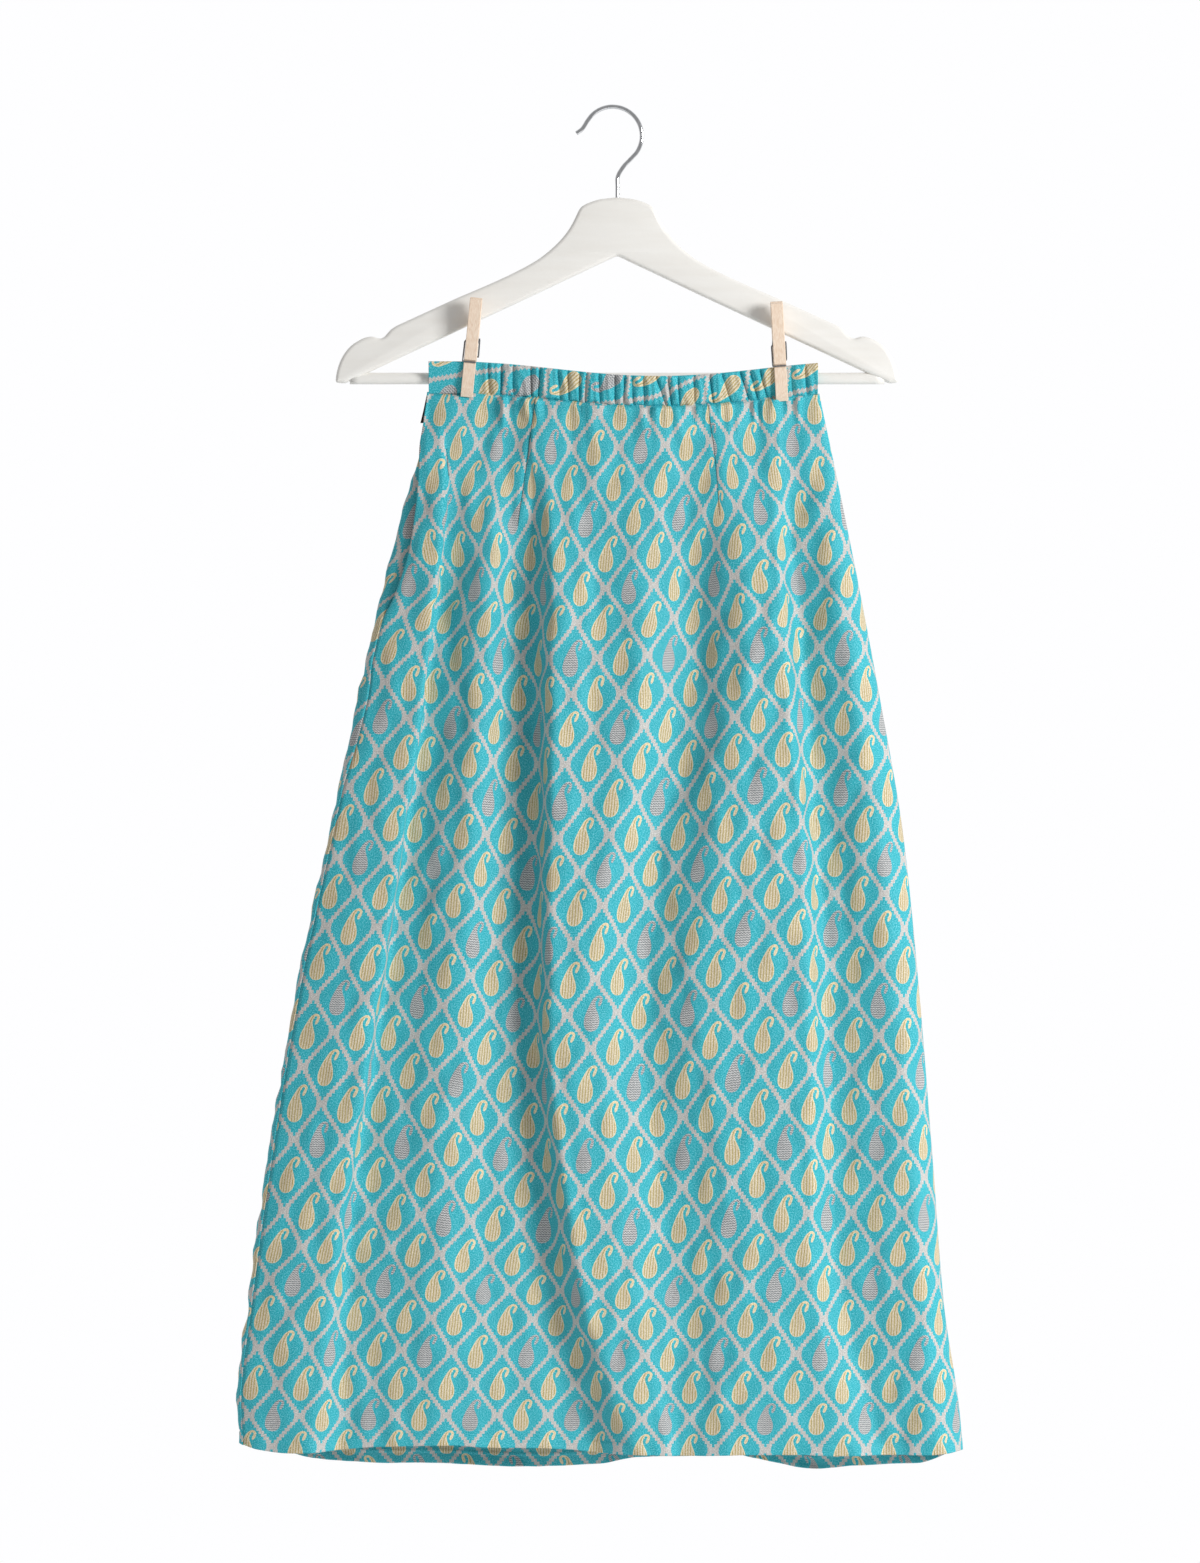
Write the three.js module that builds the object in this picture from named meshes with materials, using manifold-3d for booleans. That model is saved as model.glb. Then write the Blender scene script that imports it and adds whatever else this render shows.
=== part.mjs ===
/**
 * A-line skirt, pinned by its waistband to the bar of a wooden coat hanger with two clothespins.
 *
 * Millimetres, +Z up.  The skirt's front faces -Y and +X is to the right of someone who looks at
 * it.  The origin is the inner top of the hanger's hook, where the hook bears on a rail.
 */
import * as THREE from "three";
import { mergeVertices } from "three/addons/utils/BufferGeometryUtils.js";
import Module from "manifold-3d";

const wasm = await Module();
wasm.setup();

// ---------------------------------------------------------------- driving dimensions

const GAP = 0.3; // between neighbouring pieces
const DEGREE = Math.PI / 180;

// Hanger: flat painted wood, a round bar between its arm tips, a wire hook in its neck.
const HANGER = { centreX: 3.4, thickness: 11, edgeRound: 0.6, bar: 9, barZ: -208.5 };
const BAR_HALF_LENGTH = 207;
const HOOK = { wire: 3.5, innerRadius: 20.85, shankX: 3.8, shankBottom: -68.2 };

// Cloth walls: the panels are one layer, the waistband is two layers over elastic.
const CLOTH_WALL = 1.2;
const BAND_WALL = 1.8;

// Clothespins lean forward over the hanger's arms, and the waistband leans with them.
const PIN_TILT = 17 * DEGREE;
const PIN = { length: 76, width: 9.5, halfGap: 7.2, wire: 1.2, coilRadius: 2.6, coil: 44, groove: 28 };
const PINS = [
  { name: "pin_left", x: -111.2, jawZ: -219.9, lean: 5.9 * DEGREE },
  { name: "pin_right", x: 129.8, jawZ: -223.0, lean: -3.5 * DEGREE },
];

// Waistband: its ends, its height at the ends, and how its elastic middle sags and stands out.
const BAND = {
  left: -142,
  right: 158.5,
  top: -196,
  bottom: -220.6,
  sag: 11.6,
  sagFrom: -125,
  sagTo: 192,
  bulge: 9.5,
};

// Heights where the skirt's sections are given.
const STATION = { waist: -226, yoke: -300, hip: -400, knee: -680, calf: -880, hem: -1030 };
const MID_Y = -4.2; // the plane between front and back, from which "out" is measured

// Just under the band the cloth still leans with it, and lower down it comes back upright.
const LEAN_FROM = -216;
const LEAN_TO = -232;
const LEAN_GONE = -310;

// Side outlines of the skirt, top to bottom.
const OUTLINE = [
  { z: -220, left: -142.0, right: 158.5 },
  { z: -257, left: -148.5, right: 166.5 },
  { z: -303, left: -158.4, right: 176.0 },
  { z: -365, left: -174.0, right: 188.5 },
  { z: -457, left: -195.5, right: 206.0 },
  { z: -565, left: -218.5, right: 224.5 },
  { z: -688, left: -244.5, right: 237.0 },
  { z: -812, left: -265.0, right: 247.0 },
  { z: -920, left: -280.0, right: 255.5 },
  { z: -997, left: -288.5, right: 267.0 },
  { z: -1040, left: -286.5, right: 271.0 },
];

// How far the back panel shows past the front panel's left edge, beside the side opening.
const SIDE_STRIP = [
  { z: -226, width: 0.5 },
  { z: -262, width: 1.0 },
  { z: -287, width: 5.0 },
  { z: -320, width: 10.0 },
  { z: -352, width: 13.0 },
  { z: -382, width: 10.5 },
  { z: -404, width: 5.6 },
  { z: -430, width: 5.6 },
  { z: -462, width: 8.6 },
  { z: -492, width: 7.6 },
  { z: -535, width: 4.0 },
  { z: -1040, width: 3.6 },
];
const OPENING = { wrapFrom: -232, wrapTo: -300, overlap: 8, standOff: 5, end: -386, closed: -400 };

// Crest and trough lines of the front's folds, left to right: where each line runs, and how far
// out of the mid plane it stands from the hip down.  At the waist all of them start on the band.
const FRONT_FOLDS = [
  { fold: "pinch crest", waist: -136, yoke: -132, hip: -140.5, knee: -181.5, calf: -214, hem: -231.6,
    outHip: 32, outKnee: 42, outHem: 44 },
  { fold: "pinch trough", waist: -133, yoke: -127.5, hip: -136, knee: -173, calf: -201, hem: -208,
    outHip: 8, outKnee: 20, outHem: 30 },
  { fold: "left flute crest", waist: -96, yoke: -93, hip: -96.8, knee: -119, calf: -133, hem: -140.7,
    outHip: 25, outKnee: 33, outHem: 36 },
  { fold: "left flute foot", waist: -83, yoke: -76.7, hip: -74.4, knee: -86.8, calf: -86.8, hem: -56,
    outHip: 8, outKnee: 20, outHem: 28 },
  { fold: "main trough", waist: -71.3, yoke: -62.9, hip: -62.9, knee: -64.4, calf: -50.5, hem: -15.9,
    outHip: 7, outKnee: 16, outHem: 24 },
  { fold: "main crest", waist: -52, yoke: -46.7, hip: -43.6, knee: -45.9, calf: -26.7, hem: 21.1,
    outHip: 34, outKnee: 46, outHem: 44 },
  { fold: "middle dip", waist: -9.7, yoke: -7.4, hip: -6.6, knee: -29, calf: -6, hem: 32.7,
    outHip: 28, outKnee: 45, outHem: 43 },
  { fold: "middle crest", waist: 21.1, yoke: 21.1, hip: 21.1, knee: -19, calf: 5.7, hem: 41,
    outHip: 32, outKnee: 44.5, outHem: 42 },
  { fold: "right flute trough", waist: 55.8, yoke: 58.1, hip: 59.6, knee: 25, calf: 45.8, hem: 52,
    outHip: 18, outKnee: 28, outHem: 36 },
  { fold: "right flute crest", waist: 94.3, yoke: 99.7, hip: 104.3, knee: 72, calf: 102, hem: 81.2,
    outHip: 38, outKnee: 42, outHem: 43 },
  { fold: "side fold crest", waist: 116.6, yoke: 121.3, hip: 128.9, knee: 148.2, calf: 150.5, hem: 181.4,
    outHip: 37, outKnee: 42, outHem: 43 },
  { fold: "side fold trough", waist: 135.1, yoke: 136.7, hip: 145.9, knee: 166.7, calf: 173.7, hem: 209.9,
    outHip: 15, outKnee: 22, outHem: 32 },
  { fold: "right crest", waist: 150, yoke: 164.4, hip: 177.5, knee: 215.3, calf: 232.9, hem: 248.4,
    outHip: 26, outKnee: 32, outHem: 38 },
];
const LEFT_EDGE_OUT = { outHip: 24, outKnee: 32, outHem: 34 };
const RIGHT_EDGE_OUT = { outHip: 6, outKnee: 10, outHem: 12 };

// The same for the back, from the right seam to the left: four flutes, plainer than the front's.
const BACK_FOLDS = [
  { fold: "back right crest", waist: 146, yoke: 155, hip: 166, knee: 207, calf: 226, hem: 236,
    outHip: 26, outKnee: 34, outHem: 40 },
  { fold: "back right trough", waist: 112, yoke: 116, hip: 124, knee: 150, calf: 168, hem: 180,
    outHip: 9, outKnee: 15, outHem: 23 },
  { fold: "back flute 1", waist: 74, yoke: 78, hip: 84, knee: 104, calf: 118, hem: 130,
    outHip: 30, outKnee: 38, outHem: 42 },
  { fold: "back dip 1", waist: 34, yoke: 35, hip: 37, knee: 48, calf: 56, hem: 62,
    outHip: 12, outKnee: 20, outHem: 28 },
  { fold: "back flute 2", waist: 4, yoke: 2, hip: 0, knee: 2, calf: 4, hem: 6,
    outHip: 27, outKnee: 35, outHem: 39 },
  { fold: "back dip 2", waist: -34, yoke: -38, hip: -42, knee: -52, calf: -58, hem: -62,
    outHip: 9, outKnee: 15, outHem: 25 },
  { fold: "back flute 3", waist: -68, yoke: -75, hip: -84, knee: -106, calf: -120, hem: -130,
    outHip: 31, outKnee: 40, outHem: 42 },
  { fold: "back dip 3", waist: -98, yoke: -106, hip: -118, knee: -150, calf: -170, hem: -184,
    outHip: 12, outKnee: 17, outHem: 26 },
  { fold: "back left crest", waist: -120, yoke: -128, hip: -146, knee: -205, calf: -232, hem: -246,
    outHip: 26, outKnee: 34, outHem: 38 },
];

// Hem lines: front and back, left to right.
const FRONT_HEM = [
  { x: -287, z: -1028 },
  { x: -272, z: -1032.6 },
  { x: -250, z: -1035 },
  { x: -222, z: -1034.4 },
  { x: -183, z: -1031.3 },
  { x: -125, z: -1029.8 },
  { x: -95, z: -1031.8 },
  { x: -60, z: -1032.4 },
  { x: -35, z: -1033.7 },
  { x: -5, z: -1036.3 },
  { x: 25, z: -1036.5 },
  { x: 55, z: -1037.4 },
  { x: 100, z: -1036.4 },
  { x: 140, z: -1036.2 },
  { x: 175, z: -1037.2 },
  { x: 237, z: -1037.2 },
  { x: 271, z: -1034.5 },
];
const BACK_HEM = [
  { x: -287, z: -1028.4 },
  { x: -230, z: -1047 },
  { x: -160, z: -1050 },
  { x: -90, z: -1052.3 },
  { x: -55, z: -1052 },
  { x: -10, z: -1051 },
  { x: 20, z: -1046 },
  { x: 65, z: -1044 },
  { x: 90, z: -1042.5 },
  { x: 110, z: -1047 },
  { x: 155, z: -1054.7 },
  { x: 185, z: -1051.5 },
  { x: 215, z: -1051 },
  { x: 237, z: -1051 },
  { x: 271, z: -1034.7 },
];

// Black tab: its edges, how far its face stands before the mid plane, and its thickness.
const TAB = [
  { z: -221.4, left: -143.6, right: -134.0 },
  { z: -226.5, left: -144.8, right: -135.2 },
  { z: -232.0, left: -146.0, right: -136.4 },
  { z: -238.0, left: -147.4, right: -137.8 },
  { z: -243.0, left: -148.6, right: -139.0 },
];
const TAB_FORWARD = 1.25;
const TAB_WALL = 0.8;

// Heights of the panels' rows of corners, closest where the sections change quickest.
const PANEL_ROWS = [
  -226, -230, -234, -241, -252, -268, -286, -306, -328, -352, -372, -386, -393, -400, -416, -436, -462, -492,
  -535, -590, -650, -715, -785, -850, -910, -970, -1030,
];

const COLOURS = { cloth: 0x4db3bb, band: 0x5ab4ba, tab: 0x17161a, paint: 0xe9e6df, steel: 0x8d9094,
  beech: 0xe2c7a6 };

// ---------------------------------------------------------------- curves and tables

/** A smooth function through (x, y) pairs that never overshoots them, flat beyond both ends. */
function smoothThrough(xs, ys) {
  const count = xs.length;
  const slopes = xs.slice(1).map((x, i) => (ys[i + 1] - ys[i]) / (x - xs[i]));
  const tangents = xs.map((_, i) => {
    if (i === 0 || i === count - 1) return slopes[Math.min(i, count - 2)];
    if (slopes[i - 1] * slopes[i] <= 0) return 0;
    return 2 / (1 / slopes[i - 1] + 1 / slopes[i]);
  });
  return (x) => {
    const clamped = THREE.MathUtils.clamp(x, xs[0], xs[count - 1]);
    let i = xs.findIndex((knot) => knot >= clamped) - 1;
    if (i < 0) i = 0;
    const width = xs[i + 1] - xs[i];
    const t = (clamped - xs[i]) / width;
    return hermite(t, ys[i], tangents[i] * width, ys[i + 1], tangents[i + 1] * width);
  };
}

/** Cubic Hermite blend from value a with slope da to value b with slope db. */
function hermite(t, a, da, b, db) {
  const t2 = t * t;
  const t3 = t2 * t;
  return (2 * t3 - 3 * t2 + 1) * a + (t3 - 2 * t2 + t) * da + (3 * t2 - 2 * t3) * b + (t3 - t2) * db;
}

/** A column of a table as a smooth function of another column, which may fall or rise. */
function tableColumn(rows, along, column) {
  const sorted = [...rows].sort((a, b) => a[along] - b[along]);
  return smoothThrough(sorted.map((row) => row[along]), sorted.map((row) => row[column]));
}

/** The line of one fold: its x as a function of height. */
function foldLine(fold) {
  const names = Object.keys(STATION).reverse();
  return smoothThrough(names.map((name) => STATION[name]), names.map((name) => fold[name]));
}

/** How far one fold line stands out of the mid plane, from its value at the waist down. */
function foldOut(row, waistOut) {
  const heights = [STATION.hem, STATION.knee, STATION.hip, LEAN_TO - 6, STATION.waist];
  return smoothThrough(heights, [row.outHem, row.outKnee, row.outHip, waistOut, waistOut]);
}

/** 0 above z = from, 1 below z = to, smooth between. */
function below(z, from, to) {
  return THREE.MathUtils.smoothstep(-z, -from, -to);
}

// ---------------------------------------------------------------- waistband

/** How far the waistband has sagged at x, between the two clothespins. */
function bandSag(x) {
  const t = THREE.MathUtils.clamp((x - BAND.sagFrom) / (BAND.sagTo - BAND.sagFrom), 0, 1);
  return BAND.sag * Math.sin(Math.PI * t) ** 2;
}

const bandTop = (x) => BAND.top - bandSag(x);
const bandBottom = (x) => BAND.bottom - 0.85 * bandSag(x);

/** How far the front of the waistband stands out between the clothespins. */
function bandBulge(x) {
  const [left, right] = PINS;
  const t = THREE.MathUtils.clamp((x - left.x - 8) / (right.x - left.x - 16), 0, 1);
  return BAND.bulge * Math.sin(Math.PI * t) ** 1.5;
}

/** Depth of a plane that leans with the pins and passes at a distance in front of the bar's axis. */
function leaningPlane(distance, z) {
  return -distance / Math.cos(PIN_TILT) - (z - HANGER.barZ) * Math.tan(PIN_TILT);
}

const BACK_BAND_REAR = HANGER.bar / 2 + GAP;
const FRONT_BAND_FACE = 2 * PIN.halfGap - BACK_BAND_REAR;
const bandFrontY = (x, z) => leaningPlane(FRONT_BAND_FACE - GAP, z) - bandBulge(x);
const bandRearY = (x, z) => leaningPlane(BACK_BAND_REAR, z);

// ---------------------------------------------------------------- skirt sections

const outlineLeft = tableColumn(OUTLINE, "z", "left");
const outlineRight = tableColumn(OUTLINE, "z", "right");
const stripWidth = tableColumn(SIDE_STRIP, "z", "width");
const frontHem = tableColumn(FRONT_HEM, "x", "z");
const backHem = tableColumn(BACK_HEM, "x", "z");

/** Depth of the mid plane at height z: just below the band it still leans with the band. */
function midY(z) {
  const lean = THREE.MathUtils.clamp(LEAN_FROM - z, 0, LEAN_FROM - LEAN_TO) * Math.tan(PIN_TILT);
  return MID_Y + lean * (1 - below(z, LEAN_TO, LEAN_GONE));
}

/** A knot of a section: a point, given by x and its distance out of the mid plane, and a heading. */
function knot(x, out, heading) {
  return { x, y: -out, heading };
}

/** Point on the section between two knots; each leaves its knot along the knot's heading. */
function sectionPoint(a, b, t) {
  const reach = Math.hypot(b.x - a.x, b.y - a.y) * 0.9;
  const x = hermite(t, a.x, reach * Math.cos(a.heading), b.x, reach * Math.cos(b.heading));
  const y = hermite(t, a.y, reach * Math.sin(a.heading), b.y, reach * Math.sin(b.heading));
  return new THREE.Vector2(x, y);
}

/** Waist value of "out" where a line starts on the front or the rear of the waistband. */
const frontWaistOut = (x) => midY(bandBottom(x)) - bandFrontY(x, bandBottom(x));
const rearWaistOut = (x) => midY(bandBottom(x)) - bandRearY(x, bandBottom(x));

const frontLines = FRONT_FOLDS.map((fold) => ({
  x: foldLine(fold),
  out: foldOut(fold, frontWaistOut(fold.waist)),
}));
const backLines = BACK_FOLDS.map((fold) => {
  const inside = foldOut(fold, -rearWaistOut(fold.waist));
  return { x: foldLine(fold), out: (z) => -inside(z) };
});
const leftEdgeOut = foldOut(LEFT_EDGE_OUT, frontWaistOut(BAND.left));
const rightEdgeOut = foldOut(RIGHT_EDGE_OUT, 0);
const frontLeftX = (z) => outlineLeft(z) + stripWidth(z);

/** Knots of the front panel's section at height z, from the left seam to the right. */
function frontKnots(z) {
  const wrap = below(z, OPENING.wrapFrom, OPENING.wrapTo);
  const knots = frontLines.map((line) => knot(line.x(z), line.out(z), 0));
  knots.unshift(knot(frontLeftX(z), leftEdgeOut(z), -20 * DEGREE * wrap));
  knots.push(knot(outlineRight(z), rightEdgeOut(z), 90 * DEGREE));
  return knots;
}

/**
 * Knots of the back panel's section, from the right seam to the left.  Its left end turns round
 * the side to the front.  Beside the side opening it slides under the front panel's edge, and
 * below the opening it is sewn to that edge.
 */
function backKnots(z) {
  const wrap = below(z, OPENING.wrapFrom, OPENING.wrapTo);
  const under = 1 - below(z, OPENING.end + 14, OPENING.end);
  const behind = 1 - below(z, OPENING.end, OPENING.closed);
  const edgeX = frontLeftX(z);
  const edgeOut = leftEdgeOut(z);
  const rearOut = rearWaistOut(BAND.left);
  const mix = THREE.MathUtils.lerp;
  const knots = backLines.map((line) => knot(line.x(z), line.out(z), 180 * DEGREE));
  const turnX = mix(edgeX + 7, outlineLeft(z), wrap);
  const turnOut = mix(rearOut, edgeOut - 8 - 4 * behind, wrap);
  const endX = edgeX - GAP + OPENING.overlap * under * wrap;
  const endOut = mix(rearOut, edgeOut - OPENING.standOff * behind, wrap);
  knots.unshift(knot(outlineRight(z), rightEdgeOut(z), 90 * DEGREE));
  knots.push(knot(turnX, turnOut, (180 + 90 * wrap) * DEGREE));
  knots.push(knot(endX, endOut, (180 + (180 - 20 * (1 - behind)) * wrap) * DEGREE));
  return knots;
}

/** Points along a section, some to each stretch between knots, with its ends trimmed. */
function sectionPoints(knots, stepsPerFold, trimStart, trimEnd) {
  const points = [];
  knots.slice(0, -1).forEach((start, i) => {
    for (let step = 0; step < stepsPerFold; step += 1) {
      points.push(sectionPoint(start, knots[i + 1], step / stepsPerFold));
    }
  });
  points.push(sectionPoint(knots.at(-2), knots.at(-1), 1));
  points[0].lerp(points[1], trimStart / points[0].distanceTo(points[1]));
  points.at(-1).lerp(points.at(-2), trimEnd / points.at(-1).distanceTo(points.at(-2)));
  points[0].heading = knots[0].heading;
  points.at(-1).heading = knots.at(-1).heading;
  return points;
}

// ---------------------------------------------------------------- walls of cloth

/**
 * The row moved inwards by the wall's thickness, across the row's own direction.  Its end points
 * may carry a heading, so that the walls of two panels end square to each other at a seam.
 */
function insetRow(row, wall) {
  return row.map((point, i) => {
    const before = row[Math.max(i - 1, 0)];
    const after = row[Math.min(i + 1, row.length - 1)];
    const heading = point.heading ?? Math.atan2(after.y - before.y, after.x - before.x);
    return new THREE.Vector3(
      point.x - Math.sin(heading) * wall, point.y + Math.cos(heading) * wall, point.z);
  });
}

/** Closed wall between a grid of outer points and the same grid moved inwards. */
function wallGeometry(outerRows, wall) {
  const innerRows = outerRows.map((row) => insetRow(row, wall));
  const rowCount = outerRows.length;
  const columnCount = outerRows[0].length;
  const positions = [...outerRows.flat(), ...innerRows.flat()].flatMap((p) => [p.x, p.y, p.z]);
  const outer = (r, c) => r * columnCount + c;
  const inner = (r, c) => rowCount * columnCount + outer(r, c);
  const triangles = [];
  const quad = (a, b, c, d) => triangles.push(a, b, c, a, c, d);
  for (let r = 0; r < rowCount - 1; r += 1) {
    for (let c = 0; c < columnCount - 1; c += 1) {
      quad(outer(r, c), outer(r + 1, c), outer(r + 1, c + 1), outer(r, c + 1));
      quad(inner(r, c), inner(r, c + 1), inner(r + 1, c + 1), inner(r + 1, c));
    }
    const last = columnCount - 1;
    quad(outer(r, 0), inner(r, 0), inner(r + 1, 0), outer(r + 1, 0));
    quad(outer(r, last), outer(r + 1, last), inner(r + 1, last), inner(r, last));
  }
  for (let c = 0; c < columnCount - 1; c += 1) {
    const last = rowCount - 1;
    quad(outer(0, c), outer(0, c + 1), inner(0, c + 1), inner(0, c));
    quad(outer(last, c), inner(last, c), inner(last, c + 1), outer(last, c + 1));
  }
  const geometry = new THREE.BufferGeometry();
  geometry.setAttribute("position", new THREE.Float32BufferAttribute(positions, 3));
  geometry.setIndex(triangles);
  return geometry;
}

/** One panel of the skirt, hung between the band's lower edge and its hem line. */
function panelGeometry(knotsAt, hemAt, stepsPerFold, [trimStart, trimEnd]) {
  const sections = PANEL_ROWS.map((height) =>
    sectionPoints(knotsAt(height), stepsPerFold, trimStart, trimEnd));
  const tops = sections[0].map(({ x }) => bandBottom(x) - GAP);
  const hems = sections.at(-1).map(({ x }) => hemAt(x));
  const rows = sections.map((section, r) => {
    const drop = (STATION.waist - PANEL_ROWS[r]) / (STATION.waist - STATION.hem);
    return section.map(({ x, y, heading }, i) => {
      const z = THREE.MathUtils.lerp(tops[i], hems[i], drop);
      return { x, y: y + midY(z), z, heading };
    });
  });
  return wallGeometry(rows, CLOTH_WALL);
}

/** One side of the waistband, from end to end, leaning with the pins. */
function bandGeometry(depthAt, fromX, toX) {
  const columns = 24;
  const rows = [0, 0.5, 1].map((drop) =>
    Array.from({ length: columns + 1 }, (_, i) => {
      const x = THREE.MathUtils.lerp(fromX, toX, i / columns);
      const z = THREE.MathUtils.lerp(bandTop(x), bandBottom(x), drop);
      return new THREE.Vector3(x, depthAt(x, z), z);
    }),
  );
  return wallGeometry(rows, BAND_WALL);
}

/** The black tab that hangs out of the side opening, between the two panels. */
function tabGeometry() {
  const rows = TAB.map(({ z, left, right }) => [left, right].map((x) =>
    new THREE.Vector3(x, midY(z) - TAB_FORWARD, z)));
  return wallGeometry(rows, TAB_WALL);
}

// ---------------------------------------------------------------- hanger

/** Left half of the hanger's outline, from its neck round the arm's tip to the apex below. */
function hangerSide(shape, side) {
  const at = (x, z) => [HANGER.centreX + side * x, z];
  shape.lineTo(...at(13, -70));
  shape.quadraticCurveTo(...at(26, -73.5), ...at(28.5, -77));
  shape.bezierCurveTo(...at(32.5, -82), ...at(33.5, -97), ...at(60, -116));
  shape.bezierCurveTo(...at(76, -126.5), ...at(100, -136.5), ...at(124, -146.6));
  shape.lineTo(...at(168, -166.8));
  shape.quadraticCurveTo(...at(175, -169.8), ...at(178, -174.5));
  shape.quadraticCurveTo(...at(182, -180), ...at(187, -176.4));
  shape.quadraticCurveTo(...at(193, -175.2), ...at(200, -179.6));
  shape.bezierCurveTo(...at(210, -184.5), ...at(217, -197), ...at(217.6, -211.6));
  shape.lineTo(...at(210.5, -212.4));
  shape.lineTo(...at(61, -143.5));
  shape.lineTo(...at(9, -116.4));
}

/** The hanger's body: one flat board with eased edges, its arm tips let in for the bar. */
function hangerGeometry() {
  const rightSide = new THREE.Shape();
  rightSide.moveTo(HANGER.centreX, -68.6);
  hangerSide(rightSide, 1);
  const leftSide = new THREE.Shape();
  leftSide.moveTo(HANGER.centreX, -68.6);
  hangerSide(leftSide, -1);
  const outline = [...rightSide.getPoints(4), ...leftSide.getPoints(4).slice(1).reverse()];
  const ease = HANGER.edgeRound;
  const board = new THREE.ExtrudeGeometry(new THREE.Shape(outline), {
    depth: HANGER.thickness - 2 * ease,
    bevelThickness: ease,
    bevelSize: ease,
    bevelOffset: -ease,
    bevelSegments: 1,
  });
  board.translate(0, 0, ease - HANGER.thickness / 2);
  board.rotateX(Math.PI / 2);
  const socket = new THREE.CylinderGeometry(
    HANGER.bar / 2 + GAP, HANGER.bar / 2 + GAP, 2 * (BAR_HALF_LENGTH + GAP), 20);
  socket.rotateZ(Math.PI / 2);
  socket.translate(HANGER.centreX, 0, HANGER.barZ);
  return cut(board, socket);
}

/** The round bar between the arm tips. */
function barGeometry() {
  const bar = new THREE.CylinderGeometry(HANGER.bar / 2, HANGER.bar / 2, 2 * BAR_HALF_LENGTH, 20);
  bar.rotateZ(Math.PI / 2);
  bar.translate(HANGER.centreX, 0, HANGER.barZ);
  return bar;
}

/** The wire hook: shank, swan bend, arc over the rail and a short tip flicked outwards. */
function hookGeometry() {
  const radius = HOOK.innerRadius + HOOK.wire / 2;
  const centreZ = -HOOK.innerRadius;
  const onArc = (degrees) => new THREE.Vector3(
    radius * Math.cos(degrees * DEGREE), 0, centreZ + radius * Math.sin(degrees * DEGREE));
  const arc = [-35, -8, 20, 48, 76, 104, 132, 150].map(onArc);
  const route = new THREE.CatmullRomCurve3([
    new THREE.Vector3(HOOK.shankX, 0, HOOK.shankBottom),
    new THREE.Vector3(HOOK.shankX, 0, -60),
    new THREE.Vector3(HOOK.shankX + 0.2, 0, -52.5),
    new THREE.Vector3(HOOK.shankX + 4.4, 0, -45),
    new THREE.Vector3(HOOK.shankX + 9.6, 0, -39.4),
    ...arc,
    new THREE.Vector3(-23.4, 0, -15.4),
    new THREE.Vector3(-28, 0, -18.9),
  ], false, "centripetal");
  const section = new THREE.Shape();
  section.absarc(0, 0, HOOK.wire / 2, 0, 2 * Math.PI);
  return new THREE.ExtrudeGeometry(section, { steps: 56, curveSegments: 7, extrudePath: route });
}

/** The first solid with the second cut out of it. */
function cut(geometry, tool) {
  const solid = toSolid(geometry).subtract(toSolid(tool));
  const mesh = solid.getMesh();
  const result = new THREE.BufferGeometry();
  result.setAttribute("position", new THREE.Float32BufferAttribute(mesh.vertProperties, 3));
  result.setIndex([...mesh.triVerts]);
  return result;
}

/** A closed geometry as a manifold-3d solid. */
function toSolid(geometry) {
  const bare = geometry.clone();
  bare.deleteAttribute("normal");
  bare.deleteAttribute("uv");
  const merged = mergeVertices(bare, 1e-4);
  return new wasm.Manifold(new wasm.Mesh({
    numProp: 3,
    vertProperties: Float32Array.from(merged.attributes.position.array),
    triVerts: Uint32Array.from(merged.index.array),
  }));
}

// ---------------------------------------------------------------- clothespins

/**
 * Side profile of one half of a clothespin, drawn as (depth, height above the jaw's tip).  Depth
 * is measured from the pin's middle plane; the jaw stands apart and the handles close up.
 */
function pinHalfShape() {
  const { length, halfGap, coil, groove } = PIN;
  const notch = PIN.coilRadius + PIN.wire / 2 + GAP;
  const inner = 1;
  const halfNotch = Math.sqrt(notch ** 2 - inner ** 2);
  const jaw = new THREE.Vector2(11.6, 9);
  const handle = new THREE.Vector2(4.0, length);
  const outerAt = (height) => THREE.MathUtils.mapLinear(height, jaw.y, handle.y, jaw.x, handle.x);
  const shape = new THREE.Shape();
  shape.moveTo(halfGap, 0);
  shape.lineTo(10.4, 0);
  shape.lineTo(jaw.x, jaw.y);
  shape.lineTo(outerAt(groove - 1.3), groove - 1.3);
  shape.lineTo(outerAt(groove) - 1.1, groove - 0.9);
  shape.lineTo(outerAt(groove) - 1.1, groove + 0.9);
  shape.lineTo(outerAt(groove + 1.3), groove + 1.3);
  shape.lineTo(handle.x, handle.y);
  shape.lineTo(inner - 0.2, handle.y);
  shape.lineTo(inner, coil + halfNotch);
  shape.absarc(0, coil, notch, Math.asin(halfNotch / notch), -Math.asin(halfNotch / notch), true);
  shape.lineTo(inner, coil - halfNotch - 0.8);
  shape.lineTo(halfGap, groove + 0.6);
  shape.closePath();
  return shape;
}

/** One wooden half: its profile given the pin's width, its jaw tip at height 0. */
function pinHalfGeometry(side) {
  const geometry = new THREE.ExtrudeGeometry(pinHalfShape(), {
    depth: PIN.width,
    bevelEnabled: false,
    curveSegments: 6,
  });
  geometry.translate(0, 0, -PIN.width / 2);
  geometry.rotateX(Math.PI / 2);
  geometry.rotateZ(side * Math.PI / 2);
  return geometry;
}

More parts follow.
